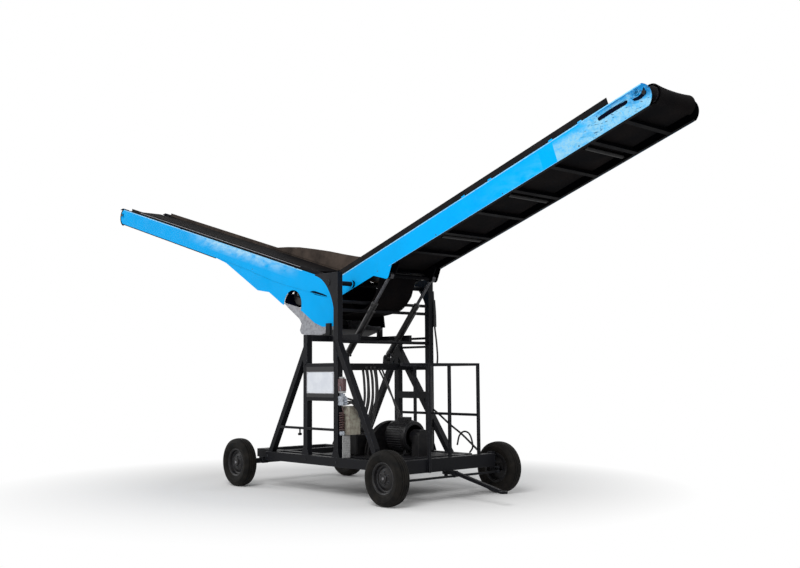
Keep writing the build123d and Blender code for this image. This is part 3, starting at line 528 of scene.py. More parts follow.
def addRound(bm, start, end, radius, steps=24, soft=0.0):
    # A round bar between two points, with closed ends
    way = (end - start).normalized()
    side = way.orthogonal().normalized()
    up = way.cross(side)
    stops = [(start, radius), (end, radius)]
    if soft:
        stops = [(start, radius - soft), (start + way * soft, radius)]
        stops += [(end - way * soft, radius), (end, radius - soft)]
    rings = [circle(bm, place, side, up, r, steps) for place, r in stops]
    joinRings(bm, rings)
    closeEnds(bm, rings)


def addRounds(bm, rounds, place):
    # Each is (start, end, radius, steps, soft), with its ends set by place
    for start, end, radius, steps, soft in rounds:
        addRound(bm, place(*start), place(*end), radius, steps, soft)


def addBolt(bm, place, way, radius, height):
    # A washer and a hexagonal head
    way = Vector(way).normalized()
    addRound(bm, place, place + way * height * 0.3, radius * 1.6, 20)
    addRound(bm, place + way * height * 0.3, place + way * height * 1.3, radius, 6)


def addTube(bm, points, radius, steps):
    # A pipe or hose along points, with a steady frame from one ring to the next
    rings = []
    side = None
    for i, p in enumerate(points):
        before, after = points[max(i - 1, 0)], points[min(i + 1, len(points) - 1)]
        way = (after - before).normalized()
        side = (way.orthogonal() if side is None else side - side.dot(way) * way).normalized()
        rings.append(circle(bm, p, side, way.cross(side), radius, steps))
    joinRings(bm, rings)
    closeEnds(bm, rings)


def addArc(bm, place, arc, fromAngle, toAngle, yLow, yHigh, steps=20):
    # A curved sheet: arc is (u, v, radius, thickness), standing across the boom from yLow to yHigh
    u, v, radius, thick = arc
    rows = []
    for k in range(steps + 1):
        a = math.radians(fromAngle + (toAngle - fromAngle) * k / steps)
        rows.append([bm.verts.new(place(u + r * math.cos(a), v + r * math.sin(a), y))
                     for r, y in ((radius, yLow), (radius, yHigh), (radius - thick, yHigh), (radius - thick, yLow))])
    joinRings(bm, rows)
    closeEnds(bm, rows)


def smoothLine(points, steps):
    # A smooth line through the points, straight in its first and last stretch
    line = []
    for i in range(1, len(points) - 2):
        a, b, c, d = points[i - 1:i + 3]
        for k in range(steps):
            t = k / steps
            line.append(0.5 * ((2 * b) + (c - a) * t + (2 * a - 5 * b + 4 * c - d) * t * t
                               + (3 * b - a - 3 * c + d) * t ** 3))
    line.append(points[-2])
    return [points[0]] + line + [points[-1]]


def curve(points, steps=8):
    # A smooth line through every point, the ends too
    first, last = points[0] * 2 - points[1], points[-1] * 2 - points[-2]
    return smoothLine([first] + points + [last], steps)[1:-1]


# Wheels: outlines as (radius, y) from the wheel's middle, y out
wheelLook = {
    "sidewall": [(0.1703, 0.058), (0.181, 0.0605), (0.186, 0.0665), (0.196, 0.0725), (0.206, 0.0790), (0.212, 0.0790),
                 (0.214, 0.0820), (0.230, 0.0868), (0.246, 0.0897), (0.256, 0.0893), (0.259, 0.0915), (0.264, 0.0915),
                 (0.267, 0.0878), (0.279, 0.0845), (0.291, 0.0795), (0.301, 0.0738), (0.3075, 0.0695),
                 (0.3108, 0.0655)],
    "grooves": (-0.046, -0.016, 0.016, 0.046), "grooveHalf": 0.0035, "grooveFoot": 0.6, "grooveDepth": 0.007,
    "crown": 0.009, "radius": 0.3199, "treadHalf": 0.0655, "tyreSteps": 112,
    "rim": [(0.0253, -0.07), (0.050, -0.07), (0.050, 0.004), (0.158, 0.004), (0.160, -0.060), (0.176, -0.064),
            (0.182, -0.066), (0.182, -0.0585), (0.1702, -0.0582), (0.1702, 0.0582), (0.182, 0.0585), (0.1835, 0.0640),
            (0.179, 0.0672), (0.173, 0.0640), (0.163, 0.056), (0.158, 0.040), (0.152, 0.021), (0.138, 0.0155),
            (0.118, 0.021), (0.104, 0.0335), (0.088, 0.0375), (0.060, 0.0375), (0.055, 0.040), (0.052, 0.055),
            (0.043, 0.0625), (0.020, 0.0640), (0.020, 0.0500), (0.0253, 0.0500)],
    "rimSteps": 72,
    "boltCircle": 0.074, "bolts": 6, "boltY": 0.0365, "boltRadius": 0.0105, "boltHigh": 0.011,
    "nutY": 0.0505, "nutHigh": 0.0145, "nutRadius": 0.018, "nutSoft": 0.002,
}


def treadLine(look):
    # Points over the tread from the inner shoulder to the outer one, with the grooves
    def crownAt(y):
        return look["radius"] - look["crown"] * (y / look["treadHalf"]) ** 2
    points = []
    h, foot, d = look["grooveHalf"], look["grooveHalf"] * look["grooveFoot"], look["grooveDepth"]
    for y in look["grooves"]:
        points += [(crownAt(y - h), y - h), (crownAt(y) - d, y - foot)]
        points += [(crownAt(y) - d, y + foot), (crownAt(y + h), y + h)]
    return points


def makeWheel(look, name, x, side):
    body = name + "_wheel"
    centre = gantryPoint(x, machine["axleZ"], side * machine["halfTrack"])
    wall = look["sidewall"]
    bm = bmesh.new()
    turned(bm, wall + treadLine(look)[::-1] + [(r, -y) for r, y in wall[::-1]], centre, side, look["tyreSteps"])
    tyre = addPiece(name + "TyreSkin", bm, tyreRubber, body, 28)
    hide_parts(name + "_tyre")
    bm = bmesh.new()
    turned(bm, look["rim"], centre, side, look["rimSteps"])
    for k in range(look["bolts"]):
        a = 2 * math.pi * (k + 0.5) / look["bolts"]
        place = centre + Vector((math.cos(a), 0, math.sin(a))) * look["boltCircle"] + alongY * side * look["boltY"]
        addBolt(bm, place, (0, side, 0), look["boltRadius"], look["boltHigh"])
    rim = addPiece(name + "RimDish", bm, rimPaint, body, 32)
    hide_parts(name + "_rim")
    bm = bmesh.new()
    hub = centre + alongY * side * look["nutY"]
    addRound(bm, hub, hub + alongY * side * look["nutHigh"], look["nutRadius"], 6, look["nutSoft"])
    addPiece(name + "HubNut", bm, bareSteel, body)


for end, x in (("front", machine["axle"]), ("rear", -machine["axle"])):
    makeWheel(wheelLook, "near_" + end, x, -1)
    makeWheel(wheelLook, "far_" + end, x, 1)
print("wheels made")

# Belt: the part's own line as two ribbons that bend at the lift hinge
beltLook = {
    "half": 0.305, "thick": 0.009, "drum": 0.085, "beyond": 0.025, "below": 0.012, "valley": 3.0,
    "rightLength": 5.1, "leftLength": 6.28, "smoothTo": 50,
    "across": (-1, -0.985, -0.93, -0.85, -0.75, -0.6, -0.3, 0, 0.3, 0.6, 0.75, 0.85, 0.93, 0.985, 1),
    "curl": 0.024, "curlFrom": 0.03, "curlStart": 0.25, "curlFade": 0.6,  # how far the edges lift, and where
    "flat": 0.45, "flatReach": 0.5,  # share of the curl that the head drum presses out
    "carryBlend": ((-1.0, 2.9), (1.3, 2.9)), "returnBlend": ((0.43, 2.345), (0.62, 2.52)),
    "bendU": 0.812, "bendReach": 0.07, "bendSteps": 6,
    "slack": ((0.60, 2.50), (0.43, 2.345), (0.2, 2.287), (-0.1, 2.262), (-0.4, 2.255)),
    "driveU": 0.785, "driveDrum": 0.1503, "driveTurn": 50,
}


def unitAt(angle):
    return Vector((math.cos(math.radians(angle)), 0, math.sin(math.radians(angle))))


def arcLine(centre, radius, fromAngle, toAngle, steps):
    return [centre + unitAt(fromAngle + (toAngle - fromAngle) * k / steps) * radius for k in range(steps + 1)]


def straightLine(start, end, step=0.12):
    count = max(2, int((end - start).length / step))
    return [start.lerp(end, k / count) for k in range(count + 1)]


def softCorner(start, corner, end, look):
    # A rounded corner as a quadratic curve
    leave = corner + (end - corner).normalized() * look["bendReach"]
    steps = [k / look["bendSteps"] for k in range(look["bendSteps"] + 1)]
    return [start.lerp(corner, t).lerp(corner.lerp(leave, t), t) for t in steps]


def ribbon(path, look, curlAt):
    # Belt cross-sections along path; curlAt(point) tells how far the edges lift there
    bm = bmesh.new()
    half, level = look["half"], look["curlFrom"]
    across = [(a, max(0, (abs(a) * half - level) / (half - level)) ** 2) for a in look["across"]]
    rings = []
    for i, p in enumerate(path):
        way = (path[min(i + 1, len(path) - 1)] - path[max(i - 1, 0)]).normalized()
        out = Vector((-way.z, 0, way.x))
        top, under = [[bm.verts.new(p + alongY * (a * half) + out * (side * look["thick"] / 2 + curlAt(p) * rise))
                       for a, rise in across] for side in (1, -1)]
        rings.append(top + under[::-1])
    joinRings(bm, rings)
    for ring in (rings[0], rings[-1]):
        bm.faces.new(ring)
    return bm


def makeBelt(look):
    half = look["thick"] / 2
    radius = look["drum"] + half
    carryV = -look["below"] - half
    drumV = -look["below"] - look["drum"] - look["thick"]
    rightU = look["rightLength"] + look["beyond"] - look["drum"] - look["thick"]
    leftU = look["leftLength"] + look["beyond"] - look["drum"] - look["thick"]
    rs, ls = machine["rightSlope"], machine["leftSlope"]
    rightRise, leftRise = math.tan(math.radians(rs)), math.tan(math.radians(ls))
    rightLift, leftLift = carryV / math.cos(math.radians(rs)), carryV / math.cos(math.radians(ls))
    crossX = (leftLift - rightLift) / (rightRise + leftRise)
    corner = Vector((machine["apexX"] + crossX, 0, machine["apexZ"] + rightLift + crossX * rightRise))
    centre = corner + unitAt(90 + (rs - ls) / 2) * (look["valley"] / math.cos(math.radians((rs + ls) / 2)))
    rightDrum, leftDrum = rightPoint(rightU, drumV), leftPoint(leftU, drumV)
    valley = arcLine(centre, look["valley"], rs - 90, -90 - ls, 40)
    carry = arcLine(rightDrum, radius, rs - 90, rs + 90, 18)
    carry += straightLine(carry[-1], valley[0])[1:-1] + valley
    wrap = arcLine(leftDrum, radius, 90 - ls, 270 - ls, 18)
    carry += straightLine(valley[-1], wrap[0])[1:-1] + wrap

    def curlAt(p):
        # the path runs from right to left, so up is the negative side
        curl = min(1, max(0, ((p - leftDrum).length - look["curlStart"]) / look["curlFade"]))
        flat = look["flat"] * max(0, 1 - (p - rightDrum).length / look["flatReach"])
        return -look["curl"] * (curl - flat)
    piece = addPiece("carryingBelt", ribbon(carry, look, curlAt), beltRubber, None, look["smoothTo"])
    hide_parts("left_belt", "right_belt")
    start, end = look["carryBlend"]
    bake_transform(piece)
    # Return strand with the slack loop under the valley
    returnV = drumV - radius
    bend = rightPoint(look["bendU"], returnV)
    low = [gantryPoint(x, z) for x, z in look["slack"]]
    drive = leftPoint(look["driveU"], returnV - half - look["driveDrum"])
    around = arcLine(drive, look["driveDrum"] + half, 90 - ls, 90 - look["driveTurn"] - ls, 10)
    start = rightPoint(rightU, returnV)
    path = straightLine(start, bend + (start - bend).normalized() * look["bendReach"])
    path += softCorner(path[-1], bend, low[0], look)[1:]
    path += straightLine(path[-1], low[0])[1:]
    path += smoothLine([path[-2]] + low + [around[-1]], 8)[1:-1]
    path += around[::-1]
    path += straightLine(around[0], leftPoint(leftU, returnV))[1:]
    bm = ribbon(path, look, lambda p: 0.0)
    piece = addPiece("returnBelt", bm, beltRubber, None, look["smoothTo"])
    start, end = look["returnBlend"]
    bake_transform(piece)


makeBelt(beltLook)
print("belt made")


# Dressing of the boom sides, as (outline, from, to, soft): from and to are y past the side's face
def block(start, end, low, high):
    # a strip along the boom, from start to end
    return [(start, low), (end, low), (end, high), (start, high)]


def tab(u, foot, head, low, high):
    # foot and head are half its widths below and above
    return [(u - foot, low), (u + foot, low), (u + head, high), (u - head, high)]


sideLook = {
    # top lip in three lengths, and the strip along the foot, both pale blue as a painted highlight on the edges
    "rightLips": [
        (block(0.12, 3.86, -0.013, 0), 0, 0.0035, 0.001), (block(3.864, 4.245, -0.013, 0), 0, 0.0035, 0.001),
        (block(4.262, 5.02, -0.013, 0), 0, 0.0035, 0.001), (block(1.08, 5.0, -0.25, -0.2465), 0, 0.0035, 0.0008)],
    # foot of the end plate, the bulge over the take-up slot, and the tabs
    "rightPlates": [
        (block(3.86, 5.02, -0.249, -0.237), 0, 0.002, 0.0006),
        ([(4.462, -0.068), (4.478, -0.040), (4.511, -0.022), (4.576, -0.017), (4.64, -0.024), (4.72, -0.038),
          (4.825, -0.062), (4.74, -0.064), (4.60, -0.060), (4.49, -0.062)], 0, 0.007, 0.003),
        *((tab(u, 0.032, 0.026, -0.004, 0.016), 0, 0.0035, 0.001) for u in (2.51, 2.94, 3.85, 4.25))],
    # take-up slot, near-black as painted shade in its recess, and the crescent by the hub
    "rightSlots": [
        ([(4.462, -0.072), (4.458, -0.085), (4.463, -0.097), (4.474, -0.103), (4.62, -0.106), (4.80, -0.110),
          (4.818, -0.105), (4.828, -0.092), (4.832, -0.077), (4.74, -0.066), (4.60, -0.062), (4.49, -0.064)],
         0, 0.0012, 0),
        ([(4.880, -0.100), (4.905, -0.128), (4.943, -0.141), (4.985, -0.143), (5.018, -0.132), (5.040, -0.106),
          (5.046, -0.070), (5.038, -0.050), (5.020, -0.072), (4.990, -0.095), (4.950, -0.105), (4.915, -0.100)],
         0, 0.0012, 0)],
    # top lip of the left boom, pale blue as a painted highlight
    "leftLips": [(block(0.70, 6.19, -0.013, 0), 0, 0.0035, 0.001)],
    # raised line over the deep part, one height wide
    "crease": [(2.93, -0.2485), (2.55, -0.252), (2.019, -0.262), (1.348, -0.288), (1.03, -0.283), (0.559, -0.262),
               (0.053, -0.236)],
    "creaseHigh": 0.007, "creaseSet": (0, 0.003, 0.0008),
    # slit by the fold, near-black as a painted shadow; tabs, dark foot and the dark edge of the tip
    "leftSlots": [
        ([(0.449, -0.248), (0.400, -0.224), (0.341, -0.213), (0.171, -0.211), (0.075, -0.217), (0.070, -0.238),
          (0.200, -0.250), (0.327, -0.260)], 0, 0.0014, 0),
        *((tab(u, 0.03, 0.024, -0.006, 0.014), 0, 0.0035, 0.001) for u in (0.86, 4.1)),
        (block(2.95, 6.19, -0.263, -0.25), -0.02, 0.001, 0.0008),
        ([(6.20, -0.002), (6.32, -0.030), (6.325, -0.022), (6.24, 0.014), (6.02, 0.016), (6.00, 0.0)],
         -0.012, 0.002, 0.001)],
    # strip that holds the skirt, inside the boom
    "clamps": [(block(0.80, 5.62, 0.026, 0.0315), -0.0358, -0.0325, 0.0008)],
    # hubs: a place, and each round as (radius, from, to, steps, soft); the bolt is (radius, height)
    "rightHub": (4.949, -0.054), "hubPlate": (0.036, 0, 0.010, 32, 0.003), "hubRing": (0.024, 0.0095, 0.011, 32, 0),
    "hubBolt": (0.013, 0.012), "leftHub": (6.211, -0.106), "leftHubPlate": (0.038, 0, 0.012, 32, 0.003),
    # curved sheets: (u, v, radius, thickness), two angles, from, to; belly is the belly sheet's last angle
    "arch": ((0.785, -0.505, 0.2045, 0.003), 40, 184, -0.0005, -0.072),
    "tip": ((6.1334, -0.125, 0.158, 0.024), -82, 62, -0.02, 0.003),
    "belly": 39, "bellyIn": 0.009,
    "bellyPan": [(0.9895, -0.505), (0.9865, -0.505), (0.903, -0.5525), (0.905, -0.5555)],
}


def addOverlays(bm, overlays, place):
    half = machine["halfBoom"]
    for side in (-1, 1):
        for outline, low, high, soft in overlays:
            addPlate(bm, outline, place, side * (half + low), side * (half + high), soft)
    return bm


def addHub(bm, place, hub, look):
    radius, low, high, steps, soft = look
    half = machine["halfBoom"]
    for side in (-1, 1):
        addRound(bm, place(*hub, side * (half + low)), place(*hub, side * (half + high)), radius, steps, soft)


def dressRight(look):
    half = machine["halfBoom"]
    lips = addOverlays(bmesh.new(), look["rightLips"], rightPoint)
    plates = addOverlays(bmesh.new(), look["rightPlates"], rightPoint)
    slots = addOverlays(bmesh.new(), look["rightSlots"], rightPoint)
    hub = look["rightHub"]
    addHub(plates, rightPoint, hub, look["hubPlate"])
    addHub(slots, rightPoint, hub, look["hubRing"])
    for side in (-1, 1):
        addBolt(plates, rightPoint(*hub, side * (half + look["hubPlate"][2])), (0, side, 0), *look["hubBolt"])
    addPiece("rightSideLips", lips, lipHighlight, "boom")
    addPiece("rightSidePlates", plates, rightPaint, "boom")
    addPiece("rightSideSlots", slots, slotDark, "boom")


def dressLeft(look):
    half = machine["halfBoom"]
    lips = addOverlays(bmesh.new(), look["leftLips"], leftPoint)
    strip = look["crease"] + [(u, v + look["creaseHigh"]) for u, v in look["crease"][::-1]]
    plates = addOverlays(bmesh.new(), [(strip, *look["creaseSet"])], leftPoint)
    slots = addOverlays(bmesh.new(), look["leftSlots"], leftPoint)
    addHub(plates, leftPoint, look["leftHub"], look["leftHubPlate"])
    for side in (-1, 1):
        for arc, fromAngle, toAngle, low, high in (look["arch"], look["tip"]):
            addArc(slots, leftPoint, arc, fromAngle, toAngle, side * (half + low), side * (half + high))
    # belly sheet across the boom, from the arch's outer side to the guard pan
    wide = half - look["bellyIn"]
    addArc(slots, leftPoint, look["arch"][0], 0, look["belly"], -wide, wide)
    addPlate(slots, look["bellyPan"], leftPoint, -wide, wide)
    addPiece("skirtClamps", addOverlays(bmesh.new(), look["clamps"], leftPoint), bareSteel, "chassis")
    addPiece("leftSideLips", lips, lipHighlight, "chassis")
    addPiece("leftSidePlates", plates, leftPaint, "chassis")
    addPiece("leftSideSlots", slots, slotDark, "chassis")


dressRight(sideLook)
dressLeft(sideLook)
print("boom sides dressed")

# Power unit: finned motor, tank with its fittings, and the half-round guard between them.
# Bars are (start, end, width, depth, across, soft), rounds (start, end, radius, steps, soft), points (x, z, y).
powerLook = {
    "motorX": (0.51, 0.87), "motorY": 0.09, "motorZ": 0.71, "motorRadius": 0.205, "motorSoft": 0.012,
    "fins": 40, "finX": (0.56, 0.81), "finHigh": 0.010, "finThick": 0.005, "finSunk": 0.004,
    "rings": 9, "ringX": (0.868, 0.874), "ringFirst": 0.03, "ringStep": 0.017,
    # box on top, and two feet of three bars each
    "motorBars": [
        ((0.62, 0.925, 0.09), (0.76, 0.925, 0.09), 0.12, 0.05, alongY, 0.006),
        *(((x, zLow, 0.09 + low), (x, zHigh, 0.09 + high), 0.04, depth, alongX, 0.002) for x in (0.58, 0.80)
          for zLow, low, zHigh, high, depth in ((0.49, -0.15, 0.49, 0.15, 0.02), (0.50, -0.11, 0.56, -0.08, 0.03),
                                                (0.50, 0.11, 0.56, 0.08, 0.03)))],
    "tankBars": [
        ((0.205, 0.480, -0.28), (0.205, 0.745, -0.28), 0.32, 0.33, alongY, 0.012),
        ((0.05, 0.744, -0.28), (0.36, 0.744, -0.28), 0.30, 0.008, alongY, 0.002)],
    "tankRounds": [
        ((0.12, 0.745, -0.35), (0.12, 0.790, -0.35), 0.034, 28, 0.005),
        ((0.28, 0.745, -0.34), (0.28, 0.820, -0.34), 0.045, 28, 0.006)],
    "tankBoltX": (0.07, 0.205, 0.34), "tankBoltY": (-0.41, -0.15), "tankBoltZ": 0.748, "tankBolt": (0.006, 0.005),
    "guardX": (0.405, 0.462), "guardY": 0.08, "guardZ": 0.482, "guardRadius": 0.41, "guardTube": 0.009,
}


def addBars(bm, bars):
    for start, end, width, depth, across, soft in bars:
        addBar(bm, gantryPoint(*start), gantryPoint(*end), width, depth, across, soft)


def makeMotor(look):
    y, z = look["motorY"], look["motorZ"]
    low, high = (gantryPoint(x, z, y) for x in look["motorX"])
    inner = look["motorRadius"] - look["finHigh"]
    bm = bmesh.new()
    addRound(bm, low, high, inner, 64, look["motorSoft"])
    for k in range(look["fins"]):
        a = 2 * math.pi * k / look["fins"]
        out = Vector((0, math.cos(a), math.sin(a)))
        start, end = (gantryPoint(x, z, y) + out * (inner + (look["finHigh"] - look["finSunk"]) / 2)
                      for x in look["finX"])
        addBar(bm, start, end, look["finThick"], look["finHigh"] + look["finSunk"], out.cross(alongX), 0.0)
    low, high = (gantryPoint(x, z, y) for x in look["ringX"])
    for k in range(look["rings"]):
        addRound(bm, low, high, look["ringFirst"] + look["ringStep"] * k, 40)
    addBars(bm, look["motorBars"])
    piece = addPiece("motorBody", bm, engineBlack, "chassis", 30)
    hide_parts("motor")


def makeGuard(look):
    radius = look["guardRadius"]
    arc = [(look["guardY"] + radius * math.cos(math.radians(a)), look["guardZ"] + radius * math.sin(math.radians(a)))
           for a in range(0, 181, 6)]
    bm = bmesh.new()
    addPlate(bm, arc, lambda u, v, x: gantryPoint(x, v, u), *look["guardX"], 0.002)
    addPiece("driveGuard", bm, engineBlack, "chassis", 40)
    bm = bmesh.new()
    for x in look["guardX"]:
        addTube(bm, [gantryPoint(x, v, u) for u, v in arc], look["guardTube"], 10)
    addPiece("driveGuardRim", bm, rimPaint, "chassis", 60)


def makeTank(look):
    bm = bmesh.new()
    addBars(bm, look["tankBars"])
    addRounds(bm, look["tankRounds"], gantryPoint)
    for x in look["tankBoltX"]:
        for y in look["tankBoltY"]:
            addBolt(bm, gantryPoint(x, look["tankBoltZ"], y), alongZ, *look["tankBolt"])
    piece = addPiece("oilTankShell", bm, engineBlack, "chassis", 30)
    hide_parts("oil_tank")


makeMotor(powerLook)
makeGuard(powerLook)
makeTank(powerLook)
print("power unit made")

# Controls at the near post: valve head, switch, stay and coiled hose
gearLook = {
    "headBars": [((0.462, 1.172, -0.780), (0.560, 1.172, -0.780), 0.066, 0.118, alongY, 0.008)],
    # face, ports on top, ports at the side, lever, and the connectors at the foot of the coil
    "headRounds": [
        ((0.535, 1.185, -0.760), (0.535, 1.185, -0.816), 0.030, 28, 0.004),
        *(((x, z - 0.01, -0.780), (x, z + 0.030, -0.780), 0.013, 18, 0.003)
          for x, z in ((0.480, 1.232), (0.512, 1.238), (0.545, 1.228))),
        *(((start, z, -0.768), (end, z, -0.768), radius, steps, soft) for z in (1.135, 1.165, 1.20)
          for start, end, radius, steps, soft in ((0.556, 0.606, 0.011, 18, 0.003), (0.570, 0.588, 0.017, 6, 0.0))),
        ((0.49, 1.24, -0.790), (0.53, 1.345, -0.825), 0.006, 12, 0.0),
        *(((x, low, -0.780), (x, high, -0.780), radius, steps, soft) for x in (0.475, 0.508, 0.538)
          for low, high, radius, steps, soft in ((0.752, 0.805, 0.012, 18, 0.003), (0.768, 0.785, 0.017, 6, 0.0)))],
    "switchBars": [((0.455, 1.365, -0.780), (0.558, 1.365, -0.780), 0.068, 0.155, alongY, 0.010)],
    "switchRounds": [((0.505, 1.365, -0.810), (0.505, 1.365, -0.828), 0.024, 24, 0.005)],
    "stayBars": [
        ((0.462, 1.278, -0.780), (0.555, 1.278, -0.780), 0.055, 0.024, alongY, 0.005),
        ((0.470, 1.452, -0.780), (0.540, 1.452, -0.780), 0.040, 0.022, alongY, 0.005),
        ((0.538, 0.482, -0.74), (0.538, 0.750, -0.74), 0.12, 0.006, alongY, 0.001),
        *(((0.5425, 0.50 + 0.028 * k, -0.796), (0.5425, 0.50 + 0.028 * k, -0.684), 0.005, 0.003, alongZ, 0.0)
          for k in range(9))],
    "coilX": 0.506, "coilY": -0.780, "coilZ": (0.80, 1.03), "coilRadius": 0.030, "coilTube": 0.0075,
    "coilTurns": 8, "turnSteps": 14, "coilTail": [(0.52, 1.07, -0.780), (0.50, 1.12, -0.780)],
}


def makeControls(look):
    bm = bmesh.new()
    addBars(bm, look["headBars"])
    addRounds(bm, look["headRounds"], gantryPoint)
    piece = addPiece("valveHead", bm, valveGrey, "chassis", 30)
    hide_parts("valve_block")
    bm = bmesh.new()
    addBars(bm, look["switchBars"])
    addRounds(bm, look["switchRounds"], gantryPoint)
    addPiece("switchBody", bm, switchRed, "chassis", 30)
    bm = bmesh.new()
    addBars(bm, look["stayBars"])
    addPiece("stayPlate", bm, stayGrey, "chassis")
    low, high = look["coilZ"]
    count = look["coilTurns"] * look["turnSteps"]
    points = []
    for k in range(count + 1):
        a = 2 * math.pi * k / look["turnSteps"]
        points.append(gantryPoint(look["coilX"] + look["coilRadius"] * math.cos(a), low + (high - low) * k / count,
                                  look["coilY"] + look["coilRadius"] * math.sin(a)))
    bm = bmesh.new()
    addTube(bm, points, look["coilTube"], 10)
    addTube(bm, curve([points[-1]] + [gantryPoint(*p) for p in look["coilTail"]], 6), look["coilTube"], 10)
    addPiece("coiledHose", bm, hoseRed, "chassis", 60)


makeControls(gearLook)
print("controls made")

# Pressure hoses, points (x, z, y)
hoseLook = {
    "hose": 0.012, "steps": 12,
    "fromPorts": [
        ((0.600, 1.135, -0.768), (0.66, 1.135, -0.73), (0.66, 0.975, -0.60), (0.50, 0.98, -0.50), (0.30, 0.96, -0.38),
         (0.16, 0.84, -0.30), (0.16, 0.75, -0.30)),
        ((0.600, 1.165, -0.768), (0.66, 1.145, -0.71), (0.66, 1.005, -0.60), (0.50, 0.98, -0.50), (0.30, 0.98, -0.38),
         (0.21, 0.84, -0.30), (0.21, 0.75, -0.30)),
        ((0.600, 1.200, -0.768), (0.66, 1.160, -0.69), (0.66, 1.040, -0.60), (0.50, 0.98, -0.50), (0.30, 1.00, -0.38),
         (0.26, 0.84, -0.30), (0.26, 0.75, -0.30))],
    # from the cross beam down to the tank
    "risers": [(0.060, -0.075), (0.085, -0.04), (0.062, -0.005), (0.088, 0.035), (0.060, 0.065), (0.085, 0.10),
               (0.066, 0.14)],
    "riser": 0.0165, "riserEnd": 0.075, "riserStep": 0.042, "ferrule": 0.021, "ferruleZ": (1.545, 1.595),
    "slings": [((0.07, 1.585, 0.18), (0.30, 1.24, 0.20), (0.47, 0.99, 0.20), (0.55, 0.925, 0.16)),
               ((0.07, 1.585, 0.24), (0.26, 1.20, 0.26), (0.42, 0.95, 0.22), (0.435, 0.90, 0.18))],
    # on the far side: two hoses down the post, one along it with its sleeve, one over the rail and a loop
    "bundle": ((0.458, 0.006), (0.503, -0.006)), "bundleY": 0.735, "bundleRadius": 0.021,
    "post": [(0.455, 2.60), (0.462, 2.48), (0.478, 2.30), (0.482, 2.12), (0.512, 1.92), (0.530, 1.72), (0.518, 1.60)],
    "postY": 0.836, "sleeve": 0.024,
    "rail": [(0.455, 1.05), (0.62, 0.955), (0.82, 0.83), (1.02, 0.72), (1.20, 0.60), (1.32, 0.515)],
    "railY": 0.775, "railHose": 0.013,
    "loop": [(0.98, 0.58), (1.02, 0.70), (1.10, 0.755), (1.19, 0.735), (1.24, 0.65), (1.25, 0.56), (1.20, 0.495)],
    "loopY": 0.735, "loopHose": 0.011,
}


def makeHoses(look):
    bm = bmesh.new()

    def addHose(points, radius, steps=look["steps"]):
        addTube(bm, curve([gantryPoint(*p) for p in points]), radius, steps)

    def atY(points, y):
        return [(x, z, y) for x, z in points]
    for points in look["fromPorts"]:
        addHose(points, look["hose"])
    for k, (x, y) in enumerate(look["risers"]):
        end = look["riserEnd"] + look["riserStep"] * k
        addHose([(x, 1.585, y), (x + 0.03, 1.40, y + 0.01 * (k % 2)), (x + 0.06, 1.16, y - 0.02),
                 (x + 0.07, 0.95, y - 0.09), (end, 0.82, -0.17), (end, 0.75, -0.17)], look["riser"])
        low, high = look["ferruleZ"]
        addRound(bm, gantryPoint(x, low, y), gantryPoint(x, high, y), look["ferrule"], 16, 0.003)
    for points in look["slings"]:
        addHose(points, look["hose"])
    post = atY(look["post"], look["postY"])
    addHose(post, look["hose"])
    addHose(post[1:4], look["sleeve"], 14)
    for x, sway in look["bundle"]:
        line = [(x, 1.592), (x + sway, 1.40), (x, 1.18), (x - sway, 0.92), (x + sway, 0.70), (x, 0.492)]
        addHose(atY(line, look["bundleY"]), look["bundleRadius"], 14)
    addHose(atY(look["rail"], look["railY"]), look["railHose"])
    addHose(atY(look["loop"], look["loopY"]), look["loopHose"])
    addPiece("pressureHoses", bm, hoseRubber, "chassis", 60)


makeHoses(hoseLook)
print("pressure hoses made")

# Gantry fittings: gussets, feet, hinge bosses, pin heads, bolts and a knob
fittingLook = {
    "gussets": {-1: [[(-0.245, 1.72), (-0.150, 1.92), (-0.150, 1.66), (-0.215, 1.60)],
                     [(0.47, 1.74), (0.39, 1.93), (0.39, 1.66), (0.45, 1.62)]],
                1: [[(-0.245, 1.72), (-0.150, 1.92), (-0.150, 1.66), (-0.215, 1.60)]]},
    "feet": [tab(x, 0.075, 0.042, 0.482, 0.57) for x in (-0.19, 0.43)], "plate": 0.006, "plateSoft": 0.001,
    "boss": (0.28, 2.64), "bossY": (0.80, 0.828), "bossRadius": 0.045,
    "bossBolts": 4, "bossCircle": 0.034, "bossBoltY": 0.826, "bossBolt": (0.005, 0.004),
    "pinY": 0.040, "pinHigh": 0.010, "pinRadius": 0.022,
    "boltX": (-1.03, -0.19, 0.43, 1.12), "boltZ": 0.425, "bolt": (0.009, 0.007),
    "knob": [((-0.32, 0.80, -0.806), (-0.32, 0.745, -0.806), 0.010, 16, 0.0),
             ((-0.32, 0.752, -0.806), (-0.32, 0.722, -0.806), 0.026, 28, 0.008)],
}


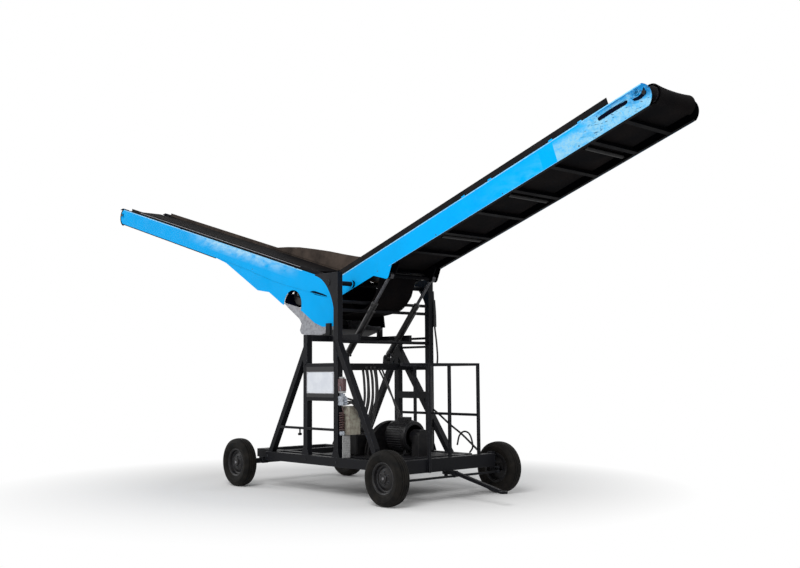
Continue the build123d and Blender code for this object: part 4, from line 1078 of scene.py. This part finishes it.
def makeGantryFittings(look):
    outer = machine["halfGantry"]
    bm = bmesh.new()
    for side in (-1, 1):
        for outline in look["gussets"][side] + look["feet"]:
            addPlate(bm, outline, gantryPoint, side * outer, side * (outer + look["plate"]), look["plateSoft"])
        x, z = look["boss"]
        low, high = (gantryPoint(x, z, side * y) for y in look["bossY"])
        addRound(bm, low, high, look["bossRadius"], 36, 0.004)
        for k in range(look["bossBolts"]):
            a = 2 * math.pi * (k + 0.5) / look["bossBolts"]
            place = gantryPoint(x + look["bossCircle"] * math.cos(a), z + look["bossCircle"] * math.sin(a),
                                side * look["bossBoltY"])
            addBolt(bm, place, alongY * side, *look["bossBolt"])
        # the lift pins at both sides of each cylinder
        for step in (-1, 1):
            face = gantryPoint(*machine["liftPin"], side * machine["liftY"] + step * look["pinY"])
            addRound(bm, face, face + alongY * step * look["pinHigh"], look["pinRadius"], 28, 0.003)
        for x in look["boltX"]:
            addBolt(bm, gantryPoint(x, look["boltZ"], side * outer), alongY * side, *look["bolt"])
    addPiece("gantryFittings", bm, blackSteel, "chassis", 30)
    bm = bmesh.new()
    addRounds(bm, look["knob"], gantryPoint)
    addPiece("barKnob", bm, skirtRubber, "chassis", 40)


makeGantryFittings(fittingLook)

# Rim and rivets of the bare plate at the near side
plateLook = {
    "x": (-0.150, 0.388), "z": (1.258, 1.526), "y": -0.823, "rimOut": 0.001, "rimWide": 0.003, "rimDeep": 0.008,
    "rivetIn": 0.02, "rivetHigh": 0.003, "rivetRadius": 0.005,
}


def makePlateRim(look):
    (left, right), (low, high), y = look["x"], look["z"], look["y"]
    corners = [(left, low), (right, low), (right, high), (left, high)]
    bm = bmesh.new()
    for start, end in zip(corners, corners[1:] + corners[:1]):
        addBar(bm, gantryPoint(*start, y - look["rimOut"]), gantryPoint(*end, y - look["rimOut"]),
               look["rimWide"], look["rimDeep"], alongY, 0.0008)
    for x in (left + look["rivetIn"], right - look["rivetIn"]):
        for z in (low + look["rivetIn"], high - look["rivetIn"]):
            place = gantryPoint(x, z, y)
            addRound(bm, place, place - alongY * look["rivetHigh"], look["rivetRadius"], 16, 0.001)
    addPiece("plateRim", bm, bareSteel, "chassis", 30)


makePlateRim(plateLook)
print("gantry fittings made")

# Lift cylinders: caps, ports and pipes over the part's barrels, points (along the barrel, out from it)
barrelLook = {
    "rounds": [
        ((0.052, 0), (0.100, 0), 0.041, 40, 0.003),
        ((0.835, 0), (0.902, 0), 0.042, 40, 0.004),
        ((0.899, 0), (0.912, 0), 0.030, 32, 0.003),
        *(((u, low), (u, high), radius, steps, soft) for u in (0.085, 0.80)
          for low, high, radius, steps, soft in ((0.03, 0.062, 0.013, 20, 0.002), (0.052, 0.066, 0.017, 6, 0.0))),
        ((0.085, 0.058), (0.80, 0.058), 0.006, 14, 0.0)],
}


def makeCylinderFittings(look):
    base = gantryPoint(*machine["liftPin"])
    way = (rightPoint(*machine["liftLug"]) - base).normalized()
    over = Vector((way.z, 0, -way.x))
    for side, name in ((-1, "near"), (1, "far")):
        foot = base + alongY * (side * machine["liftY"])
        bm = bmesh.new()
        addRounds(bm, look["rounds"], lambda u, rise: foot + way * u + over * rise)
        addPiece(name + "BarrelFittings", bm, barrelBlack, name + "_cylinder", 30)


makeCylinderFittings(barrelLook)
print("cylinder fittings made")

# Floor, backdrop colour and lights
stageLook = {
    "floorHalf": 60, "floor": (0.95, 0.95, 0.95), "floorRough": 0.9, "white": (2.2, 4.8), "world": 0.42,
    "aim": (0.7, 0, 1.8), "power": 400,
    "lamps": (("keyLight", (7.0, -9.0, 9.0), 2.2, 6.0), ("fillLight", (-9.0, -6.0, 6.0), 0.6, 7.0)),
}


def makeFloor(look):
    half = look["floorHalf"]
    mesh = bpy.data.meshes.new("floor")
    mesh.from_pydata([(-half, -half, 0), (half, -half, 0), (half, half, 0), (-half, half, 0)], [], [(0, 1, 2, 3)])
    floor = bpy.data.objects.new("floor", mesh)
    bpy.context.scene.collection.objects.link(floor)
    s = Shade("paleFloor")
    s.surface(look["floor"], look["floorRough"], 0.0, 0.0)
    # the camera sees the floor turn to plain white away from the machine's shadow
    glow = s.add("ShaderNodeEmission")
    glow.inputs["Color"].default_value = (1, 1, 1, 1)
    glow.inputs["Strength"].default_value = 1.0
    blend = s.add("ShaderNodeMixShader")
    away = s.add("ShaderNodeVectorMath", operation="LENGTH")
    s.put(away.inputs[0], s.place)
    far = s.band(away.outputs["Value"], *look["white"])
    s.put(blend.inputs[0], s.math("MULTIPLY", far, s.add("ShaderNodeLightPath").outputs["Is Camera Ray"]))
    s.put(blend.inputs[1], s.bsdf.outputs[0])
    s.put(blend.inputs[2], glow.outputs[0])
    s.put(s.tree.nodes["Material Output"].inputs["Surface"], blend.outputs[0])
    mesh.materials.append(s.material)


def makeWorld(look):
    # white where the camera and mirrors look, and a softer light for the rest
    world = bpy.data.worlds.new("studioWorld")
    bpy.context.scene.world = world
    world.use_nodes = True
    tree = world.node_tree
    plain = tree.nodes["Background"]
    plain.inputs["Color"].default_value = (1, 1, 1, 1)
    plain.inputs["Strength"].default_value = look["world"]
    seen = tree.nodes.new("ShaderNodeBackground")
    seen.inputs["Color"].default_value = (1, 1, 1, 1)
    seen.inputs["Strength"].default_value = 1.0
    ray = tree.nodes.new("ShaderNodeLightPath")
    mix = tree.nodes.new("ShaderNodeMixShader")
    seenRays = ray.outputs["Is Camera Ray"]
    for other in ("Is Glossy Ray", "Is Transmission Ray"):
        total = tree.nodes.new("ShaderNodeMath")
        total.operation = "ADD"
        total.use_clamp = True
        tree.links.new(seenRays, total.inputs[0])
        tree.links.new(ray.outputs[other], total.inputs[1])
        seenRays = total.outputs[0]
    tree.links.new(seenRays, mix.inputs[0])
    tree.links.new(plain.outputs[0], mix.inputs[1])
    tree.links.new(seen.outputs[0], mix.inputs[2])
    tree.links.new(mix.outputs[0], tree.nodes["World Output"].inputs["Surface"])


def makeLamps(look):
    for name, place, strength, size in look["lamps"]:
        data = bpy.data.lights.new(name, "AREA")
        data.energy = strength * look["power"]
        data.size = size
        lamp = bpy.data.objects.new(name, data)
        lamp.location = place
        lamp.rotation_euler = (Vector(look["aim"]) - Vector(place)).to_track_quat("-Z", "Y").to_euler()
        bpy.context.scene.collection.objects.link(lamp)


makeFloor(stageLook)
makeWorld(stageLook)
makeLamps(stageLook)
bpy.context.scene.view_settings.view_transform = "Standard"
print("stage set")
